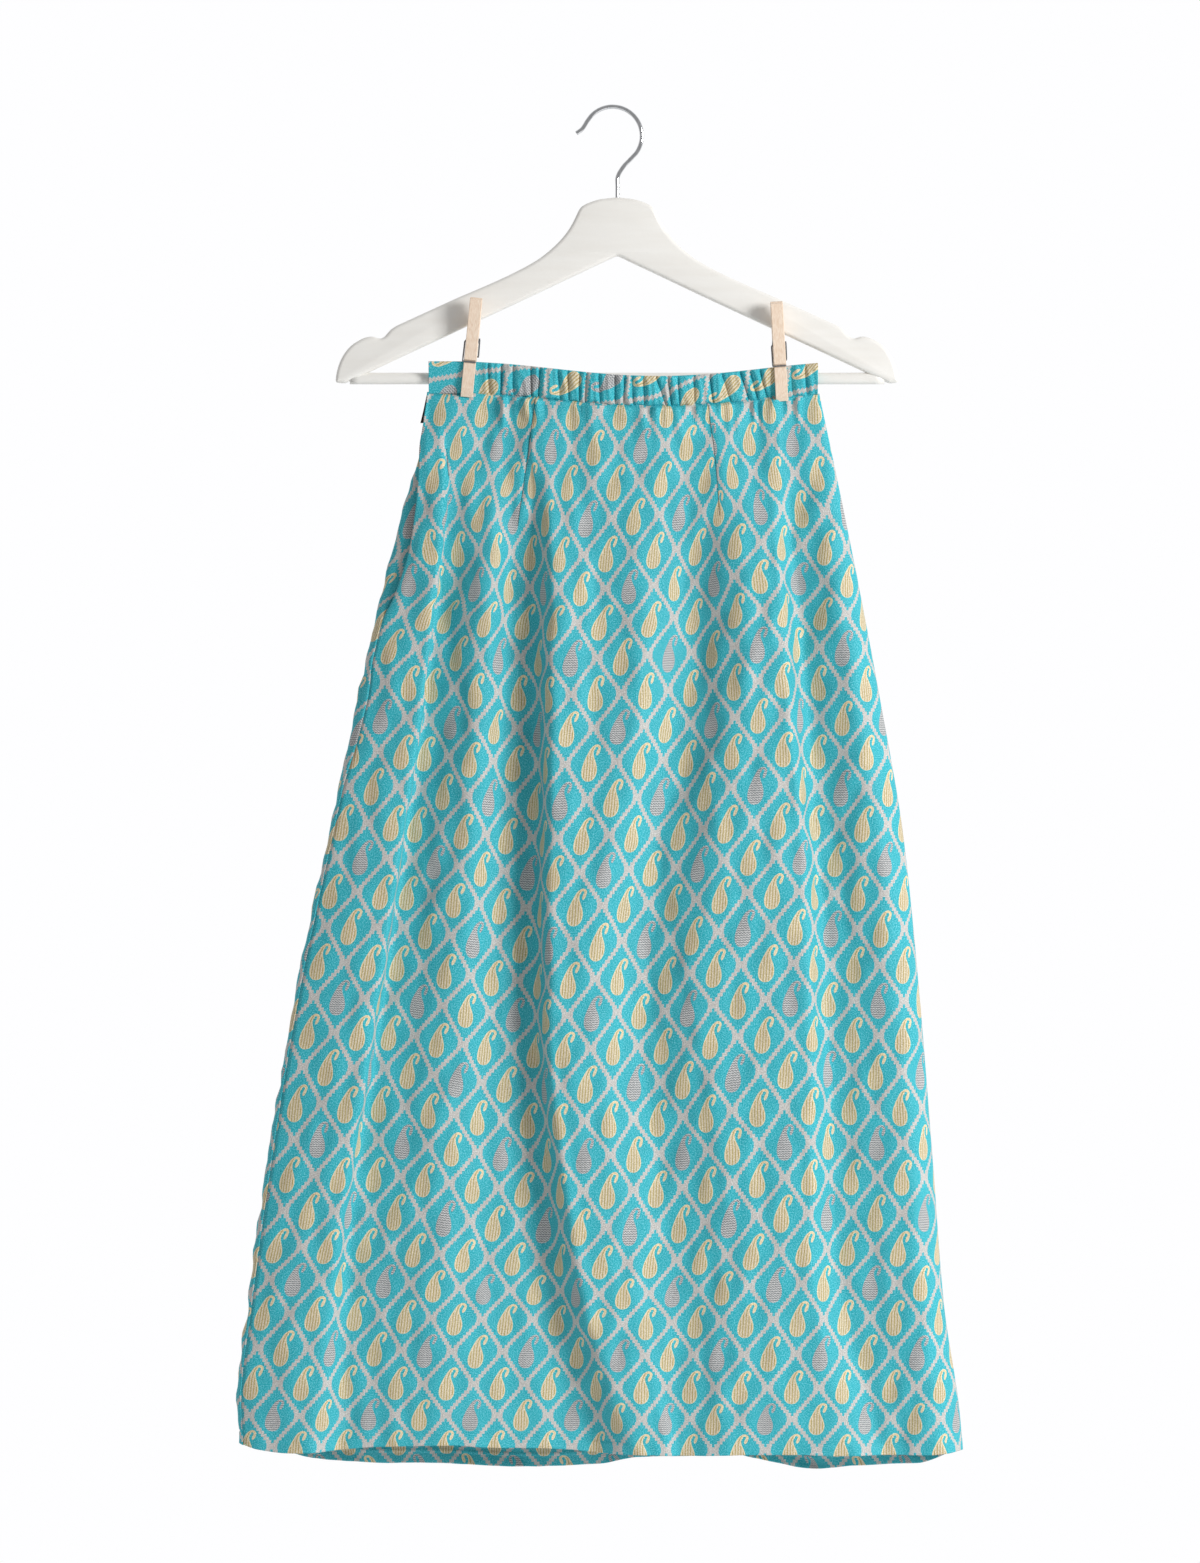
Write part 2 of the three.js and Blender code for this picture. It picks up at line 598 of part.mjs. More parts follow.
/**
 * The spring: a coil across the pin's width.  From each end an arm runs down one side of the pin
 * and crosses the outside of a half in its groove.
 */
function pinSpringGeometry() {
  const sideX = PIN.width / 2 + PIN.wire / 2 + GAP;
  const grooveHeight = PIN.groove;
  const grooveDepth = THREE.MathUtils.mapLinear(grooveHeight, 9, PIN.length, 11.6, 4.0) - 0.1;
  const turns = 3;
  const stepsPerTurn = 10;
  const coil = Array.from({ length: turns * stepsPerTurn + 1 }, (_, i) => {
    const angle = Math.PI / 2 + (2 * Math.PI * i) / stepsPerTurn;
    const x = THREE.MathUtils.lerp(-sideX, sideX, i / (turns * stepsPerTurn));
    return new THREE.Vector3(x, PIN.coilRadius * Math.cos(angle),
      PIN.coil + PIN.coilRadius * Math.sin(angle));
  });
  const arm = (side) => [
    new THREE.Vector3(-side * sideX * 0.86, side * grooveDepth, grooveHeight),
    new THREE.Vector3(0, side * grooveDepth, grooveHeight),
    new THREE.Vector3(side * sideX * 0.86, side * grooveDepth, grooveHeight),
    new THREE.Vector3(side * sideX, side * (grooveDepth - 0.8), grooveHeight + 0.8),
    new THREE.Vector3(side * sideX, side * (grooveDepth * 0.55), grooveHeight + 7),
  ];
  const route = new THREE.CatmullRomCurve3(
    [...arm(-1), ...coil, ...arm(1).reverse()], false, "centripetal");
  const section = new THREE.Shape();
  section.absarc(0, 0, PIN.wire / 2, 0, 2 * Math.PI);
  return new THREE.ExtrudeGeometry(section, { steps: 64, curveSegments: 3, extrudePath: route });
}

// ---------------------------------------------------------------- the object

const group = new THREE.Group();

/** Adds one named piece. */
function addPiece(parent, name, geometry, colour, roughness, metalness = 0) {
  const material = new THREE.MeshStandardMaterial({ color: colour, roughness, metalness });
  const mesh = new THREE.Mesh(geometry, material);
  mesh.name = name;
  parent.add(mesh);
  return mesh;
}

const halfSeam = GAP / 2;
addPiece(group, "skirt_front", panelGeometry(frontKnots, frontHem, 2, [0, halfSeam]),
  COLOURS.cloth, 0.75);
addPiece(group, "skirt_back", panelGeometry(backKnots, backHem, 3, [halfSeam, 0]),
  COLOURS.cloth, 0.75);
addPiece(group, "waistband_front", bandGeometry(bandFrontY, BAND.left, BAND.right),
  COLOURS.band, 0.75);
addPiece(group, "waistband_back", bandGeometry(bandRearY, BAND.right, BAND.left),
  COLOURS.band, 0.75);
addPiece(group, "label_tab", tabGeometry(), COLOURS.tab, 0.8);
addPiece(group, "hanger_body", hangerGeometry(), COLOURS.paint, 0.4);
addPiece(group, "hanger_bar", barGeometry(), COLOURS.paint, 0.4);
addPiece(group, "hanger_hook", hookGeometry(), COLOURS.steel, 0.25, 1);

for (const { name, x, jawZ, lean } of PINS) {
  const onBar = new THREE.Group();
  onBar.position.set(x, 0, HANGER.barZ);
  onBar.rotation.set(PIN_TILT, lean, 0, "YXZ");
  const pin = new THREE.Group();
  const middle = BACK_BAND_REAR - PIN.halfGap;
  pin.position.set(0, middle, (jawZ - HANGER.barZ) / Math.cos(PIN_TILT));
  onBar.add(pin);
  group.add(onBar);
  addPiece(pin, `${name}_front`, pinHalfGeometry(-1), COLOURS.beech, 0.6);
  addPiece(pin, `${name}_back`, pinHalfGeometry(1), COLOURS.beech, 0.6);
  addPiece(pin, `${name}_spring`, pinSpringGeometry(), COLOURS.steel, 0.3, 1);
}

export default group;
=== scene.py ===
"""A-line skirt pinned to a wooden coat hanger: its looks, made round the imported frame.

Sizes are millimetres in the frame's axes (front towards -Y, +Z up, origin at the inner top of
the hook) and become metres when a mesh is made.  Each class holds the sizes of one sub-assembly
and builds and dresses its pieces; main() builds them in order.
"""

from __future__ import annotations

import logging
import math
from collections.abc import Callable, Mapping, Sequence
from dataclasses import dataclass, field
from enum import Enum
from typing import TypeVar

import bpy
import numpy as np
from bpy.types import Material, Node, NodeSocket, NodeTree, Object
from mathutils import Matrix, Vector


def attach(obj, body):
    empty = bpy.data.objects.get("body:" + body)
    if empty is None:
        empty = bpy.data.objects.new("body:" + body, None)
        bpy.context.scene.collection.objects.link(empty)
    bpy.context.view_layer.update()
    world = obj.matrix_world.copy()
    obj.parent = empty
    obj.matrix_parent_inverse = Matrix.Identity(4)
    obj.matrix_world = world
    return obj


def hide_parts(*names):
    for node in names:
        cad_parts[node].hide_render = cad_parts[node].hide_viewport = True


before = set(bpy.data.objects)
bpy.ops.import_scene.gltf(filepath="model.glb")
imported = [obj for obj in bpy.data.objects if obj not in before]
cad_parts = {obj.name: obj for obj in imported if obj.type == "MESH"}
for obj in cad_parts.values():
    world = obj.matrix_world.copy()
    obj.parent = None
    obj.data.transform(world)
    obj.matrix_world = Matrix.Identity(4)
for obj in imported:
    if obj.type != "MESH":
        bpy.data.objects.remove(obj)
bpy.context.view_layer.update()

Grid = np.ndarray
Curve = Callable[[Grid], Grid]
Knots = tuple[Grid, Grid, Grid]
Pair = tuple[float, float]
Triple = tuple[float, float, float]
Table = tuple[tuple[float, ...], ...]

T = TypeVar("T")
# what a shader's sum takes in: another node's result, or a plain number
Term = NodeSocket | float

LOG = logging.getLogger("skirt")
MM = 0.001
BODY = "root"
# height of the hanger's bar, and how far the clothespins on it tip forwards
BAR_Z = -208.5
PIN_TILT = math.radians(17)
# the woven pattern's repeat, across the cloth and along it
REPEAT_X, REPEAT_Y = 39.3, 55.0


# ------------------------------------------------------------------ curves and tables


def hermite(t: Grid, a: Grid, slope_a: Grid, b: Grid, slope_b: Grid) -> Grid:
    """Blends from a to b: the cubic with value a and slope_a at t = 0, and b and slope_b at t = 1.

    Args:
        t: Where on the blend, 0 to 1.
        a: Value at the start.
        slope_a: Slope at the start.
        b: Value at the end.
        slope_b: Slope at the end.

    Returns:
        The blended values.
    """
    t2, t3 = t * t, t * t * t
    return (
        (2 * t3 - 3 * t2 + 1) * a
        + (t3 - 2 * t2 + t) * slope_a
        + (3 * t2 - 2 * t3) * b
        + (t3 - t2) * slope_b
    )


def smooth_through(xs: Sequence[float], ys: Sequence[float]) -> Curve:
    """Makes a smooth function through points that never overshoots them.

    Each stretch is a cubic whose slope at a point is the harmonic mean of the two straight
    slopes there, or 0 where they differ in sign.  The function is flat beyond both ends.

    Args:
        xs: Places, rising.
        ys: Values at those places.

    Returns:
        The function, for whole arrays.
    """
    at, value = np.asarray(xs, float), np.asarray(ys, float)
    slopes = np.diff(value) / np.diff(at)
    tangents = np.concatenate([slopes[:1], np.zeros(len(at) - 2), slopes[-1:]])
    same = slopes[:-1] * slopes[1:] > 0
    total = np.where(same, slopes[:-1] + slopes[1:], 1.0)
    tangents[1:-1] = np.where(same, 2 * slopes[:-1] * slopes[1:] / total, 0.0)

    def curve(x: Grid) -> Grid:
        """Reads the function.

        Args:
            x: Where to read it.

        Returns:
            The value at each x.
        """
        place = np.clip(x, at[0], at[-1])
        i = np.clip(np.searchsorted(at, place, side="left") - 1, 0, len(at) - 2)
        width = at[i + 1] - at[i]
        t = (place - at[i]) / width
        return hermite(t, value[i], tangents[i] * width, value[i + 1], tangents[i + 1] * width)

    return curve


def table_column(rows: Sequence[Sequence[float]], along: int, column: int) -> Curve:
    """Makes one column of a table a smooth function of another column.

    Args:
        rows: The table.
        along: Index of the column that is the place.
        column: Index of the column that is the value.

    Returns:
        The function, for whole arrays.
    """
    ordered = sorted(rows, key=lambda row: row[along])
    return smooth_through([row[along] for row in ordered], [row[column] for row in ordered])


def smooth_step(x: Grid, start: float, end: float) -> Grid:
    """Rises from 0 at start to 1 at end along 3t^2 - 2t^3; end may be below start."""
    t = np.clip((x - start) / (end - start), 0.0, 1.0)
    return t * t * (3 - 2 * t)


def ridge(distance: Grid, width: float) -> Grid:
    """Gives a soft ridge: e to the minus (distance over width) squared."""
    return np.exp(-((distance / width) ** 2))


@dataclass(frozen=True)
class Wave:
    """A sine wave, its length given over one radian rather than one turn."""

    length: float
    height: float = 1.0

    def at(self, place: Grid, shift: Grid | float = 0.0) -> Grid:
        """Gives height times the sine of place over length, plus a shift."""
        return self.height * np.sin(place / self.length + shift)


# ------------------------------------------------------------------ form of the skirt


class Side(Enum):
    """The two panels of the skirt, and of its waistband."""

    FRONT = "front"
    BACK = "back"

    def pick(self, front: T, back: T) -> T:
        """Gives the first on the front, and the second on the back."""
        return front if self is Side.FRONT else back


@dataclass(frozen=True)
class FoldLine:
    """One crest or trough of the drape, from waist to hem, in mm.

    The first six columns are its x at the stations of SkirtForm, the last three how far it
    stands out of the mid plane at the hip, the knee and the hem.
    """

    waist: float
    yoke: float
    hip: float
    knee: float
    calf: float
    hem: float
    out_hip: float
    out_knee: float
    out_hem: float

    def line(self, stations: Sequence[float]) -> Curve:
        """Makes the line's x a function of height."""
        places = [self.hem, self.calf, self.knee, self.hip, self.yoke, self.waist]
        return smooth_through(sorted(stations), places)


FRONT_FOLDS = (
    FoldLine(-136, -132, -140.5, -181.5, -214, -231.6, 32, 42, 44),  # pinch crest
    FoldLine(-133, -127.5, -136, -173, -201, -208, 8, 20, 30),  # pinch trough
    FoldLine(-96, -93, -96.8, -119, -133, -140.7, 25, 33, 36),  # left flute crest
    FoldLine(-83, -76.7, -74.4, -86.8, -86.8, -56, 8, 20, 28),  # left flute foot
    FoldLine(-71.3, -62.9, -62.9, -64.4, -50.5, -15.9, 7, 16, 24),  # main trough
    FoldLine(-52, -46.7, -43.6, -45.9, -26.7, 21.1, 34, 46, 44),  # main crest
    FoldLine(-9.7, -7.4, -6.6, -29, -6, 32.7, 28, 45, 43),  # middle dip
    FoldLine(21.1, 21.1, 21.1, -19, 5.7, 41, 32, 44.5, 42),  # middle crest
    FoldLine(55.8, 58.1, 59.6, 25, 45.8, 52, 18, 28, 36),  # right flute trough
    FoldLine(94.3, 99.7, 104.3, 72, 102, 81.2, 38, 42, 43),  # right flute crest
    FoldLine(116.6, 121.3, 128.9, 148.2, 150.5, 181.4, 37, 42, 43),  # side fold crest
    FoldLine(135.1, 136.7, 145.9, 166.7, 173.7, 209.9, 15, 22, 32),  # side fold trough
    FoldLine(150, 164.4, 177.5, 215.3, 232.9, 248.4, 26, 32, 38),  # right crest
)
BACK_FOLDS = (
    FoldLine(146, 155, 166, 207, 226, 236, 26, 34, 40),  # back right crest
    FoldLine(112, 116, 124, 150, 168, 180, 9, 15, 23),  # back right trough
    FoldLine(74, 78, 84, 104, 118, 130, 30, 38, 42),  # back flute 1
    FoldLine(34, 35, 37, 48, 56, 62, 12, 20, 28),  # back dip 1
    FoldLine(4, 2, 0, 2, 4, 6, 27, 35, 39),  # back flute 2
    FoldLine(-34, -38, -42, -52, -58, -62, 9, 15, 25),  # back dip 2
    FoldLine(-68, -75, -84, -106, -120, -130, 31, 40, 42),  # back flute 3
    FoldLine(-98, -106, -118, -150, -170, -184, 12, 17, 26),  # back dip 3
    FoldLine(-120, -128, -146, -205, -232, -246, 26, 34, 38),  # back left crest
)


@dataclass(frozen=True)
class SkirtForm:
    """Sizes and sections of the whole skirt, in mm, the same as those of its solids."""

    stations: tuple[float, ...] = (-226, -300, -400, -680, -880, -1030)
    mid_y: float = -4.2
    lean_heights: Triple = (-216, -232, -310)
    gap: float = 0.3
    band_left: float = -142.0
    band_right: float = 158.5
    band_top_z: float = -196.0
    band_bottom_z: float = -220.6
    band_sag: float = 11.6
    lower_edge_sag: float = 0.85
    band_sag_span: Pair = (-125, 192)
    band_bulge: float = 9.5
    band_bulge_span: Pair = (-103.2, 121.8)
    band_front_face: float = 9.3
    band_rear_face: float = 4.8
    left_edge_out: Triple = (24, 32, 34)
    right_edge_out: Triple = (6, 10, 12)
    wrap_heights: Pair = (-232, -300)
    opening_heights: Pair = (-386, -400)
    overlap: float = 8.0
    overlap_fade: float = 14.0
    stand_off: float = 5.0
    knot_reach: float = 0.9
    # by how much the front's left edge turns in
    edge_turn: float = math.radians(20)
    # the back's left turn: x inwards of the edge, distance behind it, more beside the opening
    turn_in: float = 7.0
    turn_behind: float = 8.0
    turn_behind_open: float = 4.0
    # how far down the lines leave the band straight
    straight_down: float = 6.0
    # z, left edge, right edge
    outline: Table = (
        (-220, -142.0, 158.5), (-257, -148.5, 166.5), (-303, -158.4, 176.0),
        (-365, -174.0, 188.5), (-457, -195.5, 206.0), (-565, -218.5, 224.5),
        (-688, -244.5, 237.0), (-812, -265.0, 247.0), (-920, -280.0, 255.5),
        (-997, -288.5, 267.0), (-1040, -286.5, 271.0),
    )
    # z, width of back panel that shows past the front's left edge
    side_strip: Table = (
        (-226, 0.5), (-262, 1.0), (-287, 5.0), (-320, 10.0), (-352, 13.0), (-382, 10.5),
        (-404, 5.6), (-430, 5.6), (-462, 8.6), (-492, 7.6), (-535, 4.0), (-1040, 3.6),
    )
    # x, z
    front_hem: Table = (
        (-287, -1028), (-272, -1032.6), (-250, -1035), (-222, -1034.4), (-183, -1031.3),
        (-125, -1029.8), (-95, -1031.8), (-60, -1032.4), (-35, -1033.7), (-5, -1036.3),
        (25, -1036.5), (55, -1037.4), (100, -1036.4), (140, -1036.2), (175, -1037.2),
        (237, -1037.2), (271, -1034.5),
    )
    back_hem: Table = (
        (-287, -1028.4), (-230, -1047), (-160, -1050), (-90, -1052.3), (-55, -1052),
        (-10, -1051), (20, -1046), (65, -1044), (90, -1042.5), (110, -1047),
        (155, -1054.7), (185, -1051.5), (215, -1051), (237, -1051), (271, -1034.7),
    )

    def sag(self, x: Grid) -> Grid:
        """Works out how far the waistband sags: a sine-squared arch across its span.

        Args:
            x: Places along the band.

        Returns:
            The sag at each.
        """
        start, end = self.band_sag_span
        t = np.clip((x - start) / (end - start), 0, 1)
        return self.band_sag * np.sin(np.pi * t) ** 2

    def band_top(self, x: Grid) -> Grid:
        """Gives the height of the band's upper edge."""
        return self.band_top_z - self.sag(x)

    def band_bottom(self, x: Grid) -> Grid:
        """Gives the height of the band's lower edge, which sags a little less."""
        return self.band_bottom_z - self.lower_edge_sag * self.sag(x)

    def bulge(self, x: Grid) -> Grid:
        """Works out how far the band's front stands out between the clothespins: sine to the 1.5.

        Args:
            x: Places along the band.

        Returns:
            The distance at each.
        """
        start, end = self.band_bulge_span
        t = np.clip((x - start) / (end - start), 0, 1)
        return self.band_bulge * np.sin(np.pi * t) ** 1.5

    def leaning_plane(self, distance: float, z: Grid) -> Grid:
        """Gives y on a plane tilted like the clothespins, a distance before the bar's axis."""
        return -distance / math.cos(PIN_TILT) - (z - BAR_Z) * math.tan(PIN_TILT)

    def front_band_y(self, x: Grid, z: Grid) -> Grid:
        """Gives y of the front band's face."""
        return self.leaning_plane(self.band_front_face, z) - self.bulge(x)

    def rear_band_y(self, x: Grid, z: Grid) -> Grid:
        """Gives y of the back band's face, flat against the bar."""
        return self.leaning_plane(self.band_rear_face, z) + 0 * x

    def mid_plane(self, z: Grid) -> Grid:
        """Works out the plane between the panels: it leans under the band, then comes upright.

        Args:
            z: Heights.

        Returns:
            y of the plane at each.
        """
        start, end, gone = self.lean_heights
        lean = np.clip(start - z, 0, start - end) * math.tan(PIN_TILT)
        return self.mid_y + lean * (1 - smooth_step(z, end, gone))

    def out_line(self, outs: Triple, waist_out: float) -> Curve:
        """Makes a line's distance out of the mid plane a function of height.

        Args:
            outs: Distance at the hip, the knee and the hem.
            waist_out: Distance at the band.

        Returns:
            The function of height.
        """
        waist, _, hip, knee, _, hem = self.stations
        below_band = self.lean_heights[1] - self.straight_down
        return smooth_through(
            [hem, knee, hip, below_band, waist],
            [outs[2], outs[1], outs[0], waist_out, waist_out],
        )

    def waist_out(self, x: float, face: Callable[[Grid, Grid], Grid]) -> float:
        """Gives the distance out of the mid plane at which a line starts under the band."""
        z = self.band_bottom(np.float64(x))
        return float(self.mid_plane(z) - face(np.float64(x), z))

    def front_left_x(self, z: Grid) -> Grid:
        """Gives x of the front panel's left edge, where the side opening is."""
        return table_column(self.outline, 0, 1)(z) + table_column(self.side_strip, 0, 1)(z)

    def fold_knots(self, side: Side, z: Grid) -> Knots:
        """Works out the knots on a panel's fold lines.

        Args:
            side: Front or back.
            z: Heights, one for each section.

        Returns:
            x, distance out and heading of each knot, as arrays of fold by height.
        """
        way, face = side.pick((1, self.front_band_y), (-1, self.rear_band_y))
        folds = side.pick(FRONT_FOLDS, BACK_FOLDS)
        lines = [
            self.out_line((f.out_hip, f.out_knee, f.out_hem), way * self.waist_out(f.waist, face))
            for f in folds
        ]
        xs = np.stack([fold.line(self.stations)(z) for fold in folds])
        outs = np.stack([way * line(z) for line in lines])
        return xs, outs, 0 * xs + side.pick(0, math.pi)

    def front_knots(self, z: Grid) -> Knots:
        """Works out the knots of the front's sections, left edge to right seam.

        Args:
            z: Heights, one for each section.

        Returns:
            x, distance out and heading of each knot, as arrays of height by knot.
        """
        wrap = smooth_step(z, *self.wrap_heights)
        left_out = self.waist_out(self.band_left, self.front_band_y)
        fold_x, fold_out, fold_heading = self.fold_knots(Side.FRONT, z)
        right_x = table_column(self.outline, 0, 2)(z)
        edge_out = self.out_line(self.left_edge_out, left_out)(z)
        right_out = self.out_line(self.right_edge_out, 0.0)(z)
        xs = [self.front_left_x(z), *fold_x, right_x]
        outs = [edge_out, *fold_out, right_out]
        headings = [-self.edge_turn * wrap, *fold_heading, 0 * z + math.pi / 2]
        return np.stack(xs, 1), np.stack(outs, 1), np.stack(headings, 1)

    def back_knots(self, z: Grid) -> Knots:
        """Works out the knots of the back's sections, right seam to left.

        The left end turns round the side to the front.  It slides under the front's edge beside
        the side opening, and meets that edge below it.

        Args:
            z: Heights, one for each section.

        Returns:
            x, distance out and heading of each knot, as arrays of height by knot.
        """
        wrap = smooth_step(z, *self.wrap_heights)
        end, closed = self.opening_heights
        under = 1 - smooth_step(z, end + self.overlap_fade, end)
        behind = 1 - smooth_step(z, end, closed)
        left_out = self.waist_out(self.band_left, self.front_band_y)
        edge_x, edge_out = self.front_left_x(z), self.out_line(self.left_edge_out, left_out)(z)
        rear = self.waist_out(self.band_left, self.rear_band_y)
        fold_x, fold_out, fold_heading = self.fold_knots(Side.BACK, z)
        right_x = table_column(self.outline, 0, 2)(z)
        turn_x, outline_left = edge_x + self.turn_in, table_column(self.outline, 0, 1)(z)
        turn_x = turn_x + (outline_left - turn_x) * wrap
        xs = [right_x, *fold_x, turn_x, edge_x - self.gap + self.overlap * under * wrap]
        right_out = self.out_line(self.right_edge_out, 0.0)(z)
        turn_out = edge_out - self.turn_behind - self.turn_behind_open * behind
        ends = [edge - rear for edge in (turn_out, edge_out - self.stand_off * behind)]
        outs = [right_out, *fold_out, *(rear + end * wrap for end in ends)]
        headings = [0 * z + math.pi / 2, *fold_heading, math.pi * (1 + 0.5 * wrap)]
        headings.append(math.pi + (math.pi - self.edge_turn * (1 - behind)) * wrap)
        return np.stack(xs, 1), np.stack(outs, 1), np.stack(headings, 1)

    def section_grid(self, knots: Knots, counts: Sequence[int]) -> tuple[Grid, Grid]:
        """Draws every section: between two knots runs a Hermite curve along their headings.

        The reach of each heading is knot_reach times the straight distance between the knots.

        Args:
            knots: x, distance out and heading, as arrays of height by knot.
            counts: Steps in each stretch between knots.

        Returns:
            x and y (before the mid plane is added), as arrays of height by column.
        """
        kx, out, heading = knots
        ky = -out
        xs, ys = [], []
        for i, count in enumerate(counts):
            a, b = slice(i, i + 1), slice(i + 1, i + 2)
            last = i == len(counts) - 1
            t = np.linspace(0, 1, count + 1)[None, : count + 1 if last else count]
            reach = np.hypot(kx[:, b] - kx[:, a], ky[:, b] - ky[:, a]) * self.knot_reach
            cos_a, cos_b = reach * np.cos(heading[:, a]), reach * np.cos(heading[:, b])
            sin_a, sin_b = reach * np.sin(heading[:, a]), reach * np.sin(heading[:, b])
            xs.append(hermite(t, kx[:, a], cos_a, kx[:, b], cos_b))
            ys.append(hermite(t, ky[:, a], sin_a, ky[:, b], sin_b))
        return np.concatenate(xs, 1), np.concatenate(ys, 1)


# ------------------------------------------------------------------ meshes

# directions tried for a wire's circles, besides the three axes
TRIES = 300
# points on a board's rounded edge, and how often its inward directions are averaged
EDGE_POINTS, AVERAGED = 6, 8


class Edges(Enum):
    """How a grid's faces close up."""

    OPEN = "open"
    TUBE = "tube"


def grid_faces(rows: int, columns: int, edges: Edges) -> Grid:
    """Lists the quads of a grid whose points run row by row.

    Args:
        rows: Number of rows.
        columns: Number of points in a row.
        edges: TUBE also joins each row's last point to its first.

    Returns:
        Four point indices for each quad.
    """
    wide = columns if edges is Edges.TUBE else columns - 1
    r, c = np.meshgrid(np.arange(rows - 1), np.arange(wide), indexing="ij")
    start, after = r * columns + c, r * columns + (c + 1) % columns
    quads = np.stack([start, after, after + columns, start + columns], -1)
    return quads.reshape(-1, 4)


def make_piece(name: str, points: Grid, faces: Sequence[Sequence[int]]) -> Object:
    """Makes a smooth-shaded mesh object at the origin from points in mm.

    Args:
        name: The piece's name.
        points: x, y and z of each point.
        faces: Point indices of each face.

    Returns:
        The object, linked to the scene.
    """
    mesh = bpy.data.meshes.new(name)
    mesh.from_pydata((points * MM).tolist(), [], faces)
    mesh.validate()
    mesh.polygons.foreach_set("use_smooth", np.ones(len(mesh.polygons), bool))
    mesh.update()
    piece = bpy.data.objects.new(name, mesh)
    bpy.context.scene.collection.objects.link(piece)
    return piece


def set_cloth_map(piece: Object, corner_uv: Grid) -> None:
    """Gives a piece its cloth map: where each face corner lies on the flat cloth, in metres.

    Args:
        piece: The piece.
        corner_uv: Place on the cloth of each face corner, in mm.
    """
    layer = piece.data.uv_layers.new(name="cloth")
    layer.data.foreach_set("uv", (corner_uv * MM).astype(np.float32).ravel())


def finish_piece(piece: Object, material: Material, nodes: Sequence[str]) -> Object:
    """Dresses a piece, lets it ride on the body, and hides the solids that it stands for.

    Args:
        piece: The piece.
        material: Its finish.
        nodes: The solids that it replaces.

    Returns:
        The same piece.
    """
    piece.data.materials.append(material)
    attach(piece, BODY)
    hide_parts(*nodes)
    LOG.info("%s: %d faces", piece.name, len(piece.data.polygons))
    return piece


def add_wall(piece: Object, thickness: float) -> None:
    """Gives a sheet its thickness, inwards from the side its faces point to.

    Args:
        piece: The sheet.
        thickness: Thickness of the cloth, in mm.
    """
    wall = piece.modifiers.new("wall", "SOLIDIFY")
    wall.thickness = thickness * MM
    wall.offset = -1.0
    wall.use_even_offset = False


def tube_piece(name: str, path: Grid, radius: float, sides: int) -> Object:
    """Makes a round wire: circles carried along a path, square to it, with flat ends.

    The circles' axes come from one fixed direction made square to the path at each point.  Of
    the three axes and TRIES more, spread evenly on a sphere, the path keeps furthest from it.

    Args:
        name: The piece's name.
        path: Points of the centre line.
        radius: Radius of the wire.
        sides: Points round it.

    Returns:
        The piece.
    """
    along = np.gradient(path, axis=0)
    along /= np.linalg.norm(along, axis=1, keepdims=True)
    turn = np.arange(TRIES) * math.pi * (3 - math.sqrt(5))
    high = np.linspace(-1, 1, TRIES)
    flat = np.sqrt(1 - high**2)
    tries = np.stack([flat * np.cos(turn), flat * np.sin(turn), high], 1)
    tries = np.concatenate([np.eye(3), tries])
    fixed = tries[int(np.argmin(np.abs(tries @ along.T).max(1)))]
    side = np.cross(along, fixed)
    side /= np.maximum(np.linalg.norm(side, axis=1, keepdims=True), 1e-9)
    up = np.cross(side, along)
    angle = np.linspace(0, 2 * np.pi, sides, endpoint=False)
    ring = side[:, None] * np.cos(angle)[:, None] + up[:, None] * np.sin(angle)[:, None]
    points = (path[:, None] + radius * ring).reshape(-1, 3)
    faces = grid_faces(len(path), sides, Edges.TUBE).tolist()
    start, last = list(range(sides)), (len(path) - 1) * sides
    faces += [start[::-1], [last + i for i in start]]
    return make_piece(name, points, faces)


def catmull_rom(points: Sequence[Sequence[float]], steps: int) -> Grid:
    """Draws a smooth curve through points.

    Each stretch is a cubic whose slope at a point is half the step between its neighbours.

    Args:
        points: The points.
        steps: Steps in each stretch.

    Returns:
        Points along the curve.
    """
    knots = np.asarray(points, float)
    slopes = np.gradient(knots, axis=0)
    t = np.linspace(0, 1, steps, endpoint=False)[None, :, None]
    a, b = knots[:-1, None], knots[1:, None]
    slope_a, slope_b = slopes[:-1, None], slopes[1:, None]
    curve = hermite(t, a, slope_a, b, slope_b).reshape(-1, knots.shape[1])
    return np.concatenate([curve, knots[-1:]])


def bezier(points: Sequence[Sequence[float]], steps: int) -> Grid:
    """Draws a Bezier curve of any degree by repeated halfway blending of its points.

    Args:
        points: The control points.
        steps: Steps along the curve.

    Returns:
        Points along the curve, the last left out.
    """
    t = np.linspace(0, 1, steps, endpoint=False)[:, None]
    layer = [np.asarray(point, float) + 0 * t for point in points]
    while len(layer) > 1:
        layer = [a + (b - a) * t for a, b in zip(layer, layer[1:])]
    return layer[0]


def resample(loop: Grid, spacing: float) -> Grid:
    """Spaces the points of a closed outline evenly along it.

    Args:
        loop: Corners of the outline.
        spacing: Distance between the new points, roughly.

    Returns:
        The new points, closed up without repeating the first.
    """
    closed = np.concatenate([loop, loop[:1]])
    place = np.concatenate([[0], np.cumsum(np.linalg.norm(np.diff(closed, axis=0), axis=1))])
    at = np.linspace(0, place[-1], int(place[-1] / spacing), endpoint=False)
    return np.stack([np.interp(at, place, closed[:, i]) for i in range(2)], 1)


def average(loop: Grid, times: int) -> Grid:
    """Averages each point of a closed loop with its neighbours.

    Args:
        loop: The points, or directions at them.
        times: How often.

    Returns:
        The softened loop.
    """
    for _ in range(times):
        loop = 0.5 * loop + 0.25 * (np.roll(loop, 1, axis=0) + np.roll(loop, -1, axis=0))
    return loop


